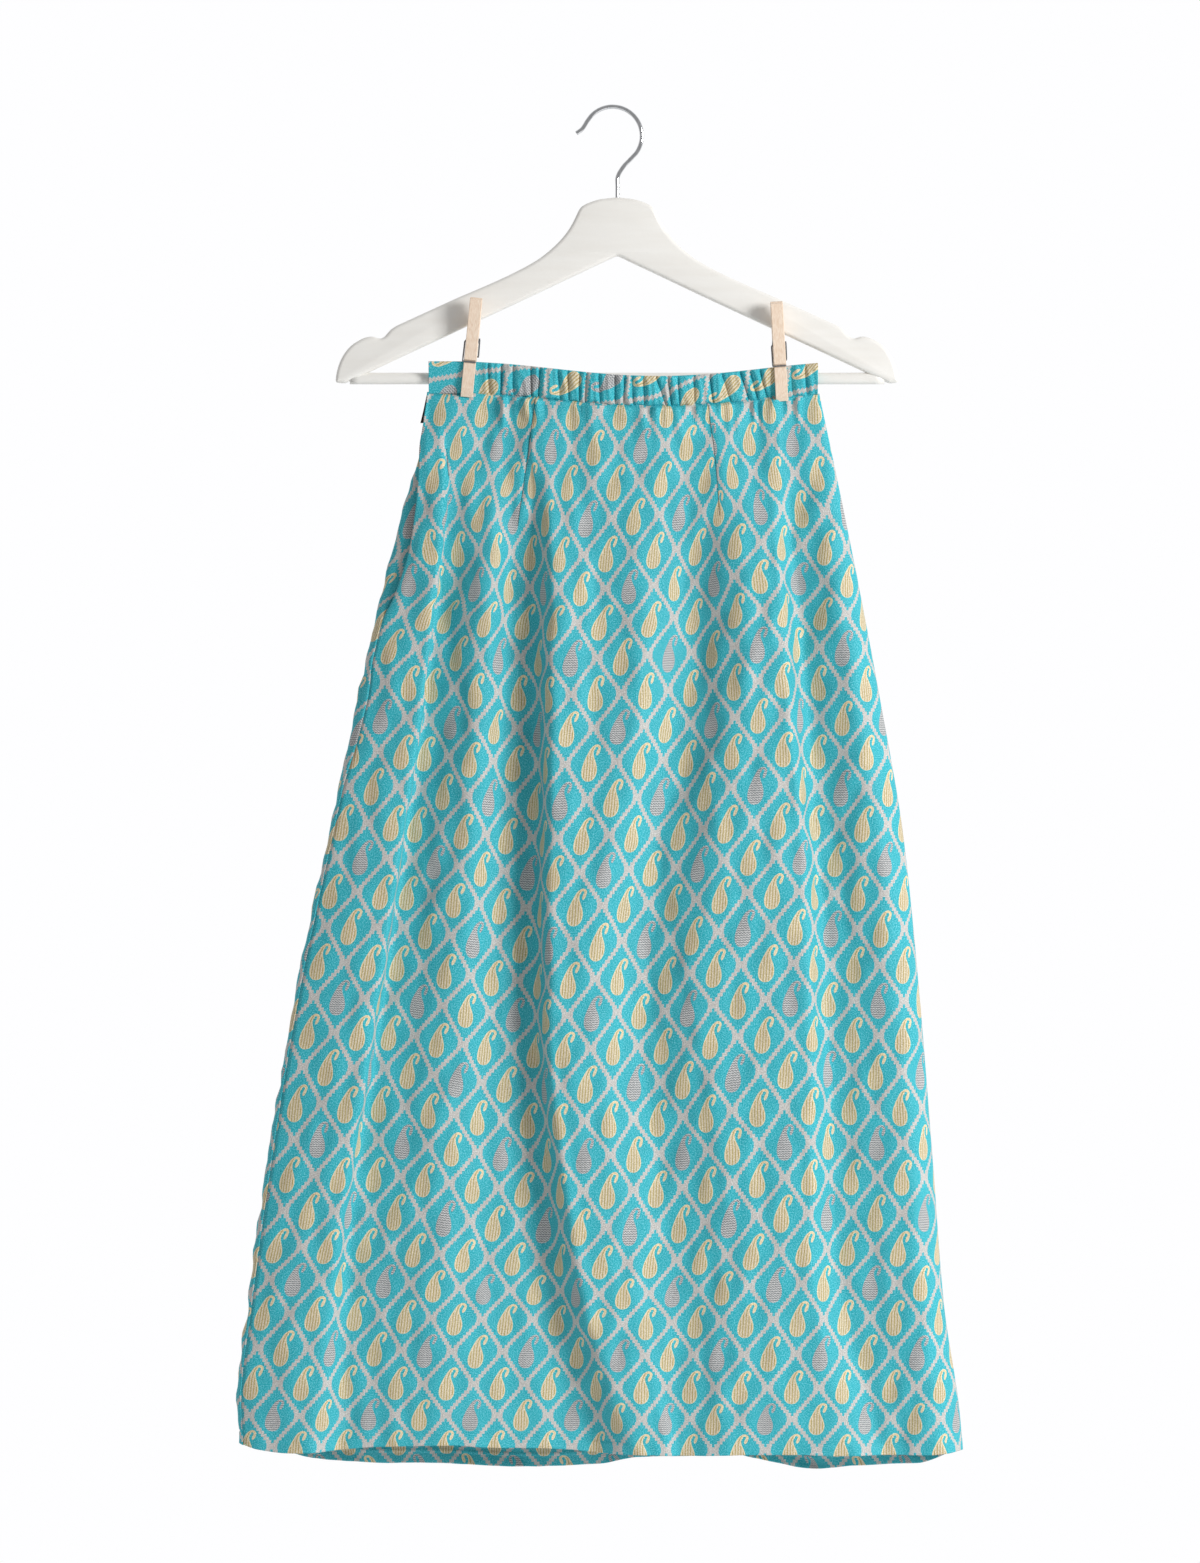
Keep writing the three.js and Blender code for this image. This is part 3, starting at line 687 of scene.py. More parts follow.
def board_points(loop: Grid, thickness: float, ease: float) -> tuple[Grid, list[list[int]]]:
    """Shapes a board from its outline: a side wall whose edges are quarter rounds, and two faces.

    Round each edge the outline moves inwards by ease times (1 - cos a) while the depth grows to
    half the thickness by ease times sin a, for a from 0 to 90 degrees.

    Args:
        loop: Outline, anticlockwise, as x and z.
        thickness: Thickness of the board.
        ease: Radius of its rounded edges.

    Returns:
        Points as x, y and z, with -y the front face, and the faces.
    """
    tangent = np.roll(loop, -1, axis=0) - np.roll(loop, 1, axis=0)
    tangent /= np.linalg.norm(tangent, axis=1, keepdims=True)
    inwards = np.stack([-tangent[:, 1], tangent[:, 0]], 1)
    # averaged with its neighbours, which shortens it where the outline turns tightly
    inwards = average(inwards, AVERAGED)
    angle = np.radians(np.linspace(90, 0, EDGE_POINTS))
    inset = ease * (1 - np.cos(angle))
    inset = np.concatenate([inset, inset[::-1]])
    depth = thickness / 2 - ease + ease * np.sin(angle)
    depth = np.concatenate([-depth, depth[::-1]])
    flat = loop[None] + inwards[None] * inset[:, None, None]
    points = np.stack([flat[..., 0], depth[:, None] + 0 * flat[..., 0], flat[..., 1]], -1)
    count, rings = len(loop), len(inset)
    faces = grid_faces(rings, count, Edges.TUBE)[:, ::-1].tolist()
    last = (rings - 1) * count
    faces += [list(range(count)), [last + i for i in range(count)][::-1]]
    return points.reshape(-1, 3), faces


# ------------------------------------------------------------------ finishes


def linear(colour: str) -> tuple[float, float, float, float]:
    """Turns an sRGB hex colour into the linear colour that shaders take.

    Args:
        colour: Such as "#4DB3BB".

    Returns:
        Red, green, blue and alpha 1.
    """
    parts = [int(colour[i : i + 2], 16) / 255 for i in (1, 3, 5)]
    curved = [p / 12.92 if p <= 0.04045 else ((p + 0.055) / 1.055) ** 2.4 for p in parts]
    return (curved[0], curved[1], curved[2], 1.0)


def add_node(
    tree: NodeTree, kind: str, links: Mapping[str | int, object], **settings: object
) -> Node:
    """Adds a node with its settings and links.

    Args:
        tree: The material's node tree.
        kind: The node's type.
        links: For each input, by name or number, a socket to link from or a plain value.
        **settings: The node's own settings.

    Returns:
        The node.
    """
    node = tree.nodes.new(kind)
    for name, value in settings.items():
        setattr(node, name, value)
    for key, source in links.items():
        if isinstance(source, NodeSocket):
            tree.links.new(source, node.inputs[key])
        else:
            node.inputs[key].default_value = source
    return node


def work_out(
    tree: NodeTree, values: dict[str, Term], steps: str, ways: Sequence[str] = ("",)
) -> None:
    """Works out a list of sums with math nodes.

    Args:
        tree: The material's node tree.
        values: Sockets and plain numbers by name, to which each step adds its result.
        steps: One step a line: a result's name, an operation, and names or numbers.
        ways: What # stands for in turn.
    """
    lines = [line for line in steps.splitlines() if line.strip()]
    for line in (line.replace("#", way) for way in ways for line in lines):
        result, operation, *terms = line.split()
        links = {
            i: values[term] if term in values else float(term) for i, term in enumerate(terms)
        }
        values[result] = add_node(tree, "ShaderNodeMath", links, operation=operation).outputs[0]


def new_material(name: str) -> tuple[Material, NodeTree, Node]:
    """Makes a material that holds nothing but its shader.

    Args:
        name: The real finish.

    Returns:
        The material, its node tree and its shader.
    """
    material = bpy.data.materials.new(name)
    material.use_nodes = True
    return material, material.node_tree, material.node_tree.nodes["Principled BSDF"]


@dataclass(frozen=True)
class PatternedCloth:
    """Woven jacquard crepe: matt spun yarn, so a soft broad highlight and a little sheen.

    A trellis of stepped grey bands and, in each diamond, a paisley.  Every fourth paisley is
    grey with zigzag threads, the others are cream with gold stripes.  All sizes are mm on the
    flat cloth.
    """

    name: str
    darts: tuple[str, ...] = ()
    ground: str = "#14ADBB"
    trellis: str = "#BDBBB7"
    cream: str = "#D1C4AA"
    gold: str = "#AE9855"
    rim: str = "#E2CDA2"
    grey: str = "#C2C2C1"
    dark_grey: str = "#64696E"
    # colour of specks of painted highlight, where the shiny yarn would glint in the light
    glint: str = "#EAF3F2"
    roughness: float = 0.68
    sheen: float = 0.04
    sheen_roughness: float = 0.45
    specular: float = 0.35
    bump: float = 0.35
    relief: float = 0.12

    # the trellis's steps in one repeat, and the span of values that the curves reach over
    SIZES = {
        "repeat_x": REPEAT_X,
        "repeat_y": REPEAT_Y,
        "steps_x": 9.4,
        "steps_y": 20.0,
        "span": 32.0,
    }
    # slubs and crepe yarn 0.9 mm across, drawn as coarse as they need to show, which also place
    # the painted glints; and patches 30 mm across where the dye took more or less: waves for each
    # mm
    NOISES = (("fleck", 1.1), ("patch", 0.033))
    # cloth taken in by a dart: the pattern jumps across its seam line
    DART = """
        beyond LESS_THAN dart_off 0.0
        jump MULTIPLY beyond dart_taken
        flat_x ADD flat_x jump
        near_line ABSOLUTE dart_off
        on_line LESS_THAN near_line 0.42
        is_taken ABSOLUTE dart_taken
        has_taken GREATER_THAN is_taken 0.01
        stitched MULTIPLY on_line has_taken
        seam MAXIMUM seam stitched
    """
    # place in the lattice's cell; # stands for x, across the cloth, and y, along it
    CELL = """
        at_# DIVIDE flat_# repeat_#
        cell_# ROUND at_#
        off_# SUBTRACT at_# cell_#
        abs_# ABSOLUTE off_#
        floor_# FLOOR at_#
    """
    # which diamond it is: those halfway between the cells are half_cell
    DIAMOND = """
        diagonal ADD abs_x abs_y
        half_cell GREATER_THAN diagonal 0.5
        shift MULTIPLY half_cell 0.5
        floors ADD floor_x floor_y
        parity FLOORED_MODULO floors 2.0
        even SUBTRACT 1.0 parity
        is_grey MULTIPLY even half_cell
    """
    # x and y from the diamond's middle in mm, and steps from where two bands cross
    LOCAL = """
        sign_# SIGN off_#
        shift_# MULTIPLY sign_# shift
        local_# SUBTRACT off_# shift_#
        # MULTIPLY local_# repeat_#
        edge_# SUBTRACT 0.5 abs_#
        far_# MULTIPLY edge_# steps_#
        near_# MULTIPLY abs_# steps_#
    """
    # bands one step of 2.75 mm high at a time, and a block where two bands cross
    TRELLIS = """
        steps MULTIPLY at_y steps_y
        row FLOOR steps
        row_middle ADD row 0.5
        row_at DIVIDE row_middle steps_y
        row_cell ROUND row_at
        row_off SUBTRACT row_at row_cell
        row_abs ABSOLUTE row_off
        stepped ADD abs_x row_abs
        from_band SUBTRACT stepped 0.5
        band_gap ABSOLUTE from_band
        band LESS_THAN band_gap 0.05
        side_block MAXIMUM far_x near_y
        end_block MAXIMUM near_x far_y
        nearest MINIMUM side_block end_block
        block LESS_THAN nearest 1.0
        is_trellis MAXIMUM band block
    """
    # a paisley's body: y from the middle of the diamond, x of its axis, half width
    PAISLEY_BODY = (
        (-14.3, -0.8, -0.4), (-13.9, -0.8, 1.9), (-13.2, -0.8, 3.2), (-12.0, -0.8, 4.4),
        (-10.4, -0.8, 5.3), (-8.4, -0.8, 5.85), (-6.2, -0.8, 6.0), (-3.4, -0.85, 5.7),
        (-0.4, -0.95, 4.95), (2.2, -1.05, 3.95), (4.7, -1.05, 2.95), (7.0, -0.75, 2.2),
        (9.0, -0.2, 1.75), (11.0, 0.6, 1.5), (12.6, 1.6, 1.2), (13.4, 2.2, -0.4),
    )
    # y as a share of the span, and the body's axis and half width back from theirs
    TALL = """
        y_share DIVIDE y span
        tall ADD y_share 0.5
    """
    BODY_SIZE = """
        #_mid SUBTRACT #_share 0.5
        # MULTIPLY #_mid span
    """
    # the hook: half a ring over the neck, and a drop at its end
    PAISLEY = """
        from_axis SUBTRACT x axis
        abs_axis ABSOLUTE from_axis
        body SUBTRACT half_width abs_axis
        ring_x SUBTRACT x 3.75
        ring_y SUBTRACT y 11.0
        ring_xx MULTIPLY ring_x ring_x
        ring_yy MULTIPLY ring_y ring_y
        ring_rr ADD ring_xx ring_yy
        ring_r SQRT ring_rr
        ring_off SUBTRACT ring_r 2.2
        ring_abs ABSOLUTE ring_off
        ring_in SUBTRACT 0.98 ring_abs
        ring_low LESS_THAN y 10.2
        ring_cut MULTIPLY ring_low 10.0
        ring SUBTRACT ring_in ring_cut
        tip_y SUBTRACT y 8.5
        tip_t DIVIDE tip_y 3.0
        tip_tt MULTIPLY tip_t tip_t
        tip_left SUBTRACT 1.0 tip_tt
        tip_pos MAXIMUM tip_left 0.0
        tip_root SQRT tip_pos
        tip_half MULTIPLY tip_root 1.25
        tip_lean MULTIPLY tip_y 0.28
        tip_axis ADD tip_lean 5.2
        tip_from SUBTRACT x tip_axis
        tip_abs ABSOLUTE tip_from
        tip SUBTRACT tip_half tip_abs
        hook MAXIMUM ring tip
        inside MAXIMUM body hook
        is_paisley GREATER_THAN inside 0.0
        is_rim LESS_THAN inside 0.9
        stripe_at MULTIPLY from_axis 2.95
        stripe_in ADD stripe_at 0.7
        stripe_wave SINE stripe_in
        is_stripe GREATER_THAN stripe_wave 0.4
        zig PINGPONG x 1.1
        zig_low MULTIPLY zig 0.75
        zig_y ADD y zig_low
        zig_at MULTIPLY zig_y 3.5
        zig_wave SINE zig_at
        is_dark GREATER_THAN zig_wave 0.1
    """
    # masks of each yarn colour, the cloth's light and dark flecks, its painted glints, and its
    # relief
    MASKS = """
        not_grey SUBTRACT 1.0 is_grey
        is_cream MULTIPLY is_paisley not_grey
        is_zigzag MULTIPLY is_paisley is_grey
        not_rim SUBTRACT 1.0 is_rim
        inner_stripe MULTIPLY is_stripe not_rim
        is_gold MULTIPLY is_cream inner_stripe
        rim_cream MULTIPLY is_cream is_rim
        dark_all MULTIPLY is_zigzag is_dark
        is_dark_yarn MULTIPLY dark_all 0.9
        glint_low SUBTRACT fleck 0.42
        glint_up MAXIMUM glint_low 0.0
        glint MULTIPLY glint_up 0.48
        fleck_mid SUBTRACT fleck 0.5
        fleck_part MULTIPLY fleck_mid 1.05
        patch_mid SUBTRACT patch 0.5
        patch_part MULTIPLY patch_mid 0.12
        both_parts ADD fleck_part patch_part
        shade ADD both_parts 1.0
        raised_motif MULTIPLY is_paisley 0.6
        raised_band MULTIPLY is_trellis 0.3
        raised ADD raised_motif raised_band
        height ADD raised fleck
    """
    # a stitched seam pulls the yarns apart and looks dark
    SEAM = """
        seam_part MULTIPLY seam 0.6
        shade SUBTRACT shade seam_part
    """

    def body_curve(self, tree: NodeTree, place: Term, column: int) -> Term:
        """Makes a column of the body's table a function of y, straight between its rows.

        Args:
            tree: The material's node tree.
            place: y, as a share of the span.
            column: Column of the table, whose values are turned to shares of the span too.

        Returns:
            The value as a share of the span.
        """
        node = add_node(tree, "ShaderNodeFloatCurve", {"Value": place})
        points = node.mapping.curves[0].points
        rows = [(row[0], row[column]) for row in self.PAISLEY_BODY]
        spots = [tuple(value / self.SIZES["span"] + 0.5 for value in row) for row in rows]
        for spot in spots[1:-1]:
            points.new(*spot)
        points[0].location, points[-1].location = spots[0], spots[-1]
        for point in points:
            point.handle_type = "VECTOR"
        node.mapping.extend = "HORIZONTAL"
        node.mapping.update()
        return node.outputs[0]

    def lay_yarns(self, tree: NodeTree, values: Mapping[str, Term]) -> Term:
        """Lays each yarn's colour over those before it, where its mask shows, and last the painted
        glints.

        Args:
            tree: The material's node tree.
            values: The masks.

        Returns:
            The cloth's colour.
        """
        yarns = (
            (self.trellis, "is_trellis"),
            (self.cream, "is_cream"),
            (self.gold, "is_gold"),
            (self.rim, "rim_cream"),
            (self.grey, "is_zigzag"),
            (self.dark_grey, "is_dark_yarn"),
            # painted highlight: pale specks for the glint of the shiny yarn
            (self.glint, "glint"),
        )
        colour: Term | tuple[float, ...] = linear(self.ground)
        for tint, mask in yarns:
            links = {0: values[mask], 6: colour, 7: linear(tint)}
            colour = add_node(tree, "ShaderNodeMix", links, data_type="RGBA").outputs[2]
        links = {"Color": colour, "Value": values["shade"]}
        return add_node(tree, "ShaderNodeHueSaturation", links).outputs["Color"]

    def make(self) -> Material:
        """Makes the material, which reads the cloth map and the darts' attributes.

        Returns:
            The material.
        """
        material, tree, shader = new_material(self.name)
        cloth = add_node(tree, "ShaderNodeUVMap", {}, uv_map="cloth")
        links = {0: cloth.outputs["UV"], "Scale": 1 / MM}
        place = add_node(tree, "ShaderNodeVectorMath", links, operation="SCALE")
        parts = add_node(tree, "ShaderNodeSeparateXYZ", {0: place.outputs["Vector"]})
        values = {"flat_x": parts.outputs["X"], "flat_y": parts.outputs["Y"], "seam": 0.0}
        values |= self.SIZES
        for dart in self.darts:
            known = add_node(tree, "ShaderNodeAttribute", {}, attribute_name=dart)
            split = add_node(tree, "ShaderNodeSeparateXYZ", {0: known.outputs["Vector"]})
            values |= {"dart_off": split.outputs["X"], "dart_taken": split.outputs["Y"]}
            work_out(tree, values, self.DART)
        for name, per_mm in self.NOISES:
            links = {"Vector": place.outputs["Vector"], "Scale": per_mm, "Detail": 2.0}
            noise = add_node(tree, "ShaderNodeTexNoise", links, noise_dimensions="2D")
            values[name] = noise.outputs[0]
        work_out(tree, values, self.CELL, "xy")
        work_out(tree, values, self.DIAMOND)
        work_out(tree, values, self.LOCAL, "xy")
        work_out(tree, values, self.TRELLIS + self.TALL)
        sizes = ("axis", "half_width")
        for column, size in enumerate(sizes, 1):
            values[f"{size}_share"] = self.body_curve(tree, values["tall"], column)
        work_out(tree, values, self.BODY_SIZE, sizes)
        work_out(tree, values, self.PAISLEY + self.MASKS)
        if self.darts:
            work_out(tree, values, self.SEAM)
        links = {"Height": values["height"], "Strength": self.bump, "Distance": self.relief * MM}
        bump = add_node(tree, "ShaderNodeBump", links)
        tree.links.new(self.lay_yarns(tree, values), shader.inputs["Base Color"])
        tree.links.new(bump.outputs["Normal"], shader.inputs["Normal"])
        set_shader(shader, {"Roughness": self.roughness, "Sheen Weight": self.sheen})
        set_shader(shader, {"Sheen Roughness": self.sheen_roughness})
        set_shader(shader, {"Specular IOR Level": self.specular})
        return material


def set_shader(shader: Node, values: Mapping[str, float]) -> None:
    """Sets numbers straight on the shader's own sockets."""
    for name, value in values.items():
        shader.inputs[name].default_value = value


@dataclass(frozen=True)
class Grain:
    """A noise pattern that tints and roughens a finish, read from Object coordinates.

    size gives the pattern's grain in mm along x, y and z, so a long grain has one long side.
    """

    size: Triple
    detail: float
    low: str
    high: str
    rough_low: float
    rough_high: float
    relief: float
    bump: float = 0.4

    # noise values that give the low and the high colour: few lie beyond them
    REACH = (0.3, 0.7)

    def apply(self, tree: NodeTree, shader: Node) -> None:
        """Links colour, roughness and bump to the shader.

        Args:
            tree: The material's node tree.
            shader: Its shader.
        """
        where = add_node(tree, "ShaderNodeTexCoord", {})
        scale = tuple(1 / (MM * side) for side in self.size)
        links = {"Vector": where.outputs["Object"], "Scale": scale}
        mapped = add_node(tree, "ShaderNodeMapping", links)
        links = {"Vector": mapped.outputs[0], "Scale": 1.0, "Detail": self.detail}
        noise = add_node(tree, "ShaderNodeTexNoise", links)
        links = {0: noise.outputs[0], 1: self.REACH[0], 2: self.REACH[1]}
        level = add_node(tree, "ShaderNodeMapRange", links).outputs[0]
        links = {0: level, 6: linear(self.low), 7: linear(self.high)}
        tint = add_node(tree, "ShaderNodeMix", links, data_type="RGBA")
        links = {0: level, 3: self.rough_low, 4: self.rough_high}
        rough = add_node(tree, "ShaderNodeMapRange", links)
        links = {"Height": level, "Strength": self.bump, "Distance": self.relief * MM}
        bump = add_node(tree, "ShaderNodeBump", links)
        tree.links.new(tint.outputs[2], shader.inputs["Base Color"])
        tree.links.new(rough.outputs[0], shader.inputs["Roughness"])
        tree.links.new(bump.outputs["Normal"], shader.inputs["Normal"])


@dataclass(frozen=True)
class GrainedFinish:
    """A finish whose look is one grain pattern and a few plain shader numbers."""

    name: str
    grain: Grain
    numbers: tuple[tuple[str, float], ...] = ()

    def make(self) -> Material:
        """Makes the material.

        Returns:
            The material.
        """
        material, tree, shader = new_material(self.name)
        self.grain.apply(tree, shader)
        set_shader(shader, dict(self.numbers))
        return material


# white alkyd paint, brushed on wood and rubbed: a satin gloss, broken by faint brush lines
WHITE_PAINT = GrainedFinish(
    "white satin paint on wood",
    Grain((60.0, 9.0, 7.0), 3.0, "#EDEAE4", "#F1EFEA", 0.34, 0.42, 0.006),
    (("Specular IOR Level", 0.5), ("Coat Weight", 0.12), ("Coat Roughness", 0.25)),
)
# chromium plate on steel wire: a near mirror with a few fine rub marks
CHROME = GrainedFinish(
    "chromium plate",
    Grain((1.5, 1.5, 9.0), 3.0, "#CFD0D2", "#E6E7E9", 0.05, 0.13, 0.006),
    (("Metallic", 1.0),),
)
# drawn steel wire, bare: metal with a dull, slightly uneven lustre
SPRING_WIRE = GrainedFinish(
    "drawn spring wire",
    Grain((0.8, 0.8, 0.8), 2.0, "#77777A", "#9A9A9D", 0.28, 0.42, 0.01),
    (("Metallic", 1.0),),
)
# beech, sawn and tumbled: pale pinkish wood with short darker flecks along the grain
BEECH = GrainedFinish(
    "tumbled beech",
    Grain((0.7, 0.7, 9.0), 5.0, "#E4C9AF", "#F6E4D1", 0.5, 0.68, 0.06),
    (("Specular IOR Level", 0.35),),
)
# woven polyester tape, black: dark and dull with a faint thread pattern
BLACK_TAPE = GrainedFinish(
    "black woven tape",
    Grain((0.5, 0.5, 0.35), 1.0, "#0E0D10", "#26242A", 0.55, 0.75, 0.05),
    (("Sheen Weight", 0.2),),
)


# ------------------------------------------------------------------ the skirt's cloth


@dataclass(frozen=True)
class Pucker:
    """One soft gather of cloth: a ridge that runs down from a seam and dies out, in mm.

    lean is how far it drifts in x for each mm down, height how far it stands out.
    """

    x: float
    length: float
    height: float
    width: float
    lean: float

    # share of its length from which it fades
    FADES = 0.15

    def raise_by(self, x: Grid, drop: Grid) -> Grid:
        """Gives its height at x, a drop below the seam: a ridge that fades along its length."""
        fade = 1 - smooth_step(drop, self.FADES * self.length, self.length)
        return self.height * fade * ridge(x - self.x - self.lean * drop, self.width)


@dataclass(frozen=True)
class Gathers:
    """A row of gathers, spaced unevenly along the seam under the band, in mm.

    seeds are those of the front's and the back's random draws, and spacing is the least and the
    greatest distance between two.  Lengths reach up to length, and strength multiplies heights.
    """

    seeds: tuple[int, int]
    spacing: Pair
    length: float
    strength: float

    # x of the first and the last, front and back
    SPANS = ((-84.0, 152.0), (-120.0, 152.0))
    # limits of the draws: share of the length, height, width and lean
    DRAWS = ((0.35, 1.0), (0.5, 1.25), (1.6, 2.8), (-0.05, 0.12))

    def scatter(self, side: Side) -> list[Pucker]:
        """Draws the gathers from left to right.

        Args:
            side: Front or back.

        Returns:
            The gathers.
        """
        rng = np.random.default_rng(side.pick(*self.seeds))
        puckers = []
        x, end = side.pick(*self.SPANS)
        while x < end:
            share, height, width, lean = (rng.uniform(*limits) for limits in self.DRAWS)
            puckers.append(Pucker(x, self.length * share, height * self.strength, width, lean))
            x += rng.uniform(*self.spacing)
        return puckers


@dataclass(frozen=True)
class Dart:
    """A waist dart: a seam line that takes cloth in at the band and none at its point, in mm."""

    top_x: float
    middle_x: float
    point_x: float
    middle_z: float
    point_z: float
    intake: float
    top_z: float = -226.0
    # the seam's dent and the fullness beside it, as height and width, and where they grow
    dent: Pair = (1.5, 1.3)
    fullness: Pair = (0.5, 6.0)
    grows: Pair = (-4.0, 25.0)

    def line(self, z: Grid) -> Grid:
        """Gives x of the seam at each height."""
        heights = [self.point_z, self.middle_z, self.top_z]
        return smooth_through(heights, [self.point_x, self.middle_x, self.top_x])(z)

    def taken(self, z: Grid) -> Grid:
        """Gives the cloth taken in, which grows evenly from the point up."""
        return self.intake * np.clip((z - self.point_z) / (self.top_z - self.point_z), 0, 1)

    def groove(self, x: Grid, z: Grid) -> Grid:
        """Works out the dent of the seam, with the cloth a little full on both sides of it.

        Args:
            x: Where each point is.
            z: Its height.

        Returns:
            How far each point stands out.
        """
        off = x - self.line(z)
        held = smooth_step(z, self.point_z + self.grows[0], self.point_z + self.grows[1])
        full = self.fullness[0] * ridge(off, self.fullness[1])
        return held * (full - self.dent[0] * ridge(off, self.dent[1]))


DART_LABELS = ("dart_left", "dart_right")
FRONT_DARTS = (
    Dart(-59.0, -66.0, -73.0, -275.0, -322.0, 37.0),
    Dart(72.7, 79.7, 82.7, -277.0, -315.0, 28.0),
)
BACK_DARTS = (
    Dart(-62.0, -67.0, -70.0, -275.0, -330.0, 24.0),
    Dart(68.0, 73.0, 76.0, -275.0, -330.0, 24.0),
)


@dataclass(frozen=True)
class ClothPlan:
    """How the front panel lies on its flat cloth, in mm: the woven rows and columns.

    One upright column of motifs is the zero of u.  v falls by one repeat from row to row.
    """

    # z, x of the zero column, row number there
    rows: Table = (
        (-181.3, 11.5, -2), (-240.0, 7.2, -0.92), (-290.2, 2.6, 0), (-346.5, -4.3, 1),
        (-398.8, -8.9, 2), (-453.5, -13.6, 3), (-505.9, -16.6, 4), (-562.2, -22.8, 5),
        (-616.1, -27.5, 6), (-672.3, -33.0, 7), (-726.3, -36.6, 8), (-781.7, -41.5, 9),
        (-834.9, -40.0, 10), (-889.6, -39.8, 11), (-935.8, -42.5, 12), (-984.4, -48.2, 13),
        (-1031.8, -51.0, 14), (-1079.2, -54.0, 15),
    )
    # the outer columns ride higher: their number from the middle, and z with how much of a row
    bow_middle: float = 0.5
    bow_columns: Pair = (1.2, 4.6)
    bow: Table = (
        (-226, 0.06), (-286, 0.13), (-450, 0.16), (-560, 0.18), (-727, 0.20), (-890, 0.20),
        (-936, 0.07), (-984, 0.0),
    )
    # cloth held in by gathers and ease, as shares of a repeat: z, then at each ease_x
    ease_x: tuple[float, ...] = (-140, -105, -76, -34, 0, 39, 72, 92, 124, 156)
    ease: Table = (
        (-226, -0.56, -0.38, -0.26, -0.07, 0, 0.11, 0.20, 0.27, 0.41, 0.49),
        (-286, -0.96, -0.71, -0.52, -0.07, 0, 0.10, 0.21, 0.48, 0.62, 0.76),
        (-346, -0.74, -0.63, -0.34, -0.06, 0, 0.07, 0.26, 0.40, 0.38, 0.34),
        (-399, -0.31, -0.21, -0.11, -0.03, 0, 0.02, 0.15, 0.19, 0.18, 0.12),
        (-453, -0.03, 0.0, -0.02, 0.0, 0, 0.0, 0.07, 0.09, 0.13, 0.10),
        (-520, 0.0, 0.0, 0.0, 0.0, 0, 0.0, 0.02, 0.02, 0.0, 0.0),
    )

    # how much of a row the cloth is lifted on top of that: z, then at each lift_x
    lift_x: tuple[float, ...] = (-230, -170, -110, -60, 0, 45, 92, 130, 165, 200)
    lift: Table = (
        (-240, 0, 0, -0.02, 0, 0, 0.04, 0.13, 0.04, 0.02, 0),
        (-290, 0, 0, -0.05, 0, 0, 0.06, 0.14, 0.05, 0.01, 0),
        (-330, 0, 0, -0.05, 0, 0.02, 0.09, 0.16, 0.07, -0.04, 0),
        (-420, 0, 0.03, -0.07, 0, 0.02, 0.08, 0.13, 0.09, 0, 0),
        (-520, 0, 0, -0.08, -0.05, 0.02, 0.04, 0.11, 0.07, -0.02, -0.02),
        (-650, 0.05, 0.03, -0.06, -0.05, 0.03, 0.05, 0.11, 0.07, 0, 0),
        (-740, 0.07, 0.04, -0.03, -0.01, 0.05, 0.05, 0.08, 0.05, 0.03, 0),
        (-860, 0.04, 0.03, 0.02, 0.02, 0.02, 0.02, 0.02, 0.02, 0, 0),
        (-930, 0.08, 0.04, 0.04, 0.04, 0, 0, 0, 0, 0, 0),
        (-1000, 0.04, 0.04, 0.03, 0.02, 0, -0.02, -0.02, -0.01, -0.01, -0.02),
    )

    # cloth that gathers hold in on each half of the back: z, mm
    back_ease: Table = (
        (-226, 48), (-262, 46), (-300, 36), (-350, 17), (-400, 4), (-450, 0),
    )

    def look_up(self, known_x: Sequence[float], table: Table, x: Grid, z: Grid) -> Grid:
        """Reads a table at a place: straight between its x, smooth in z.

        Args:
            known_x: x of the table's columns.
            table: Rows of z and one value at each of those x.
            x: Where to read it.
            z: The same.

        Returns:
            The values.
        """
        value = np.zeros_like(x)
        for column, only in enumerate(np.eye(len(known_x)), 1):
            value += np.interp(x, known_x, only) * table_column(table, 0, column)(z)
        return value


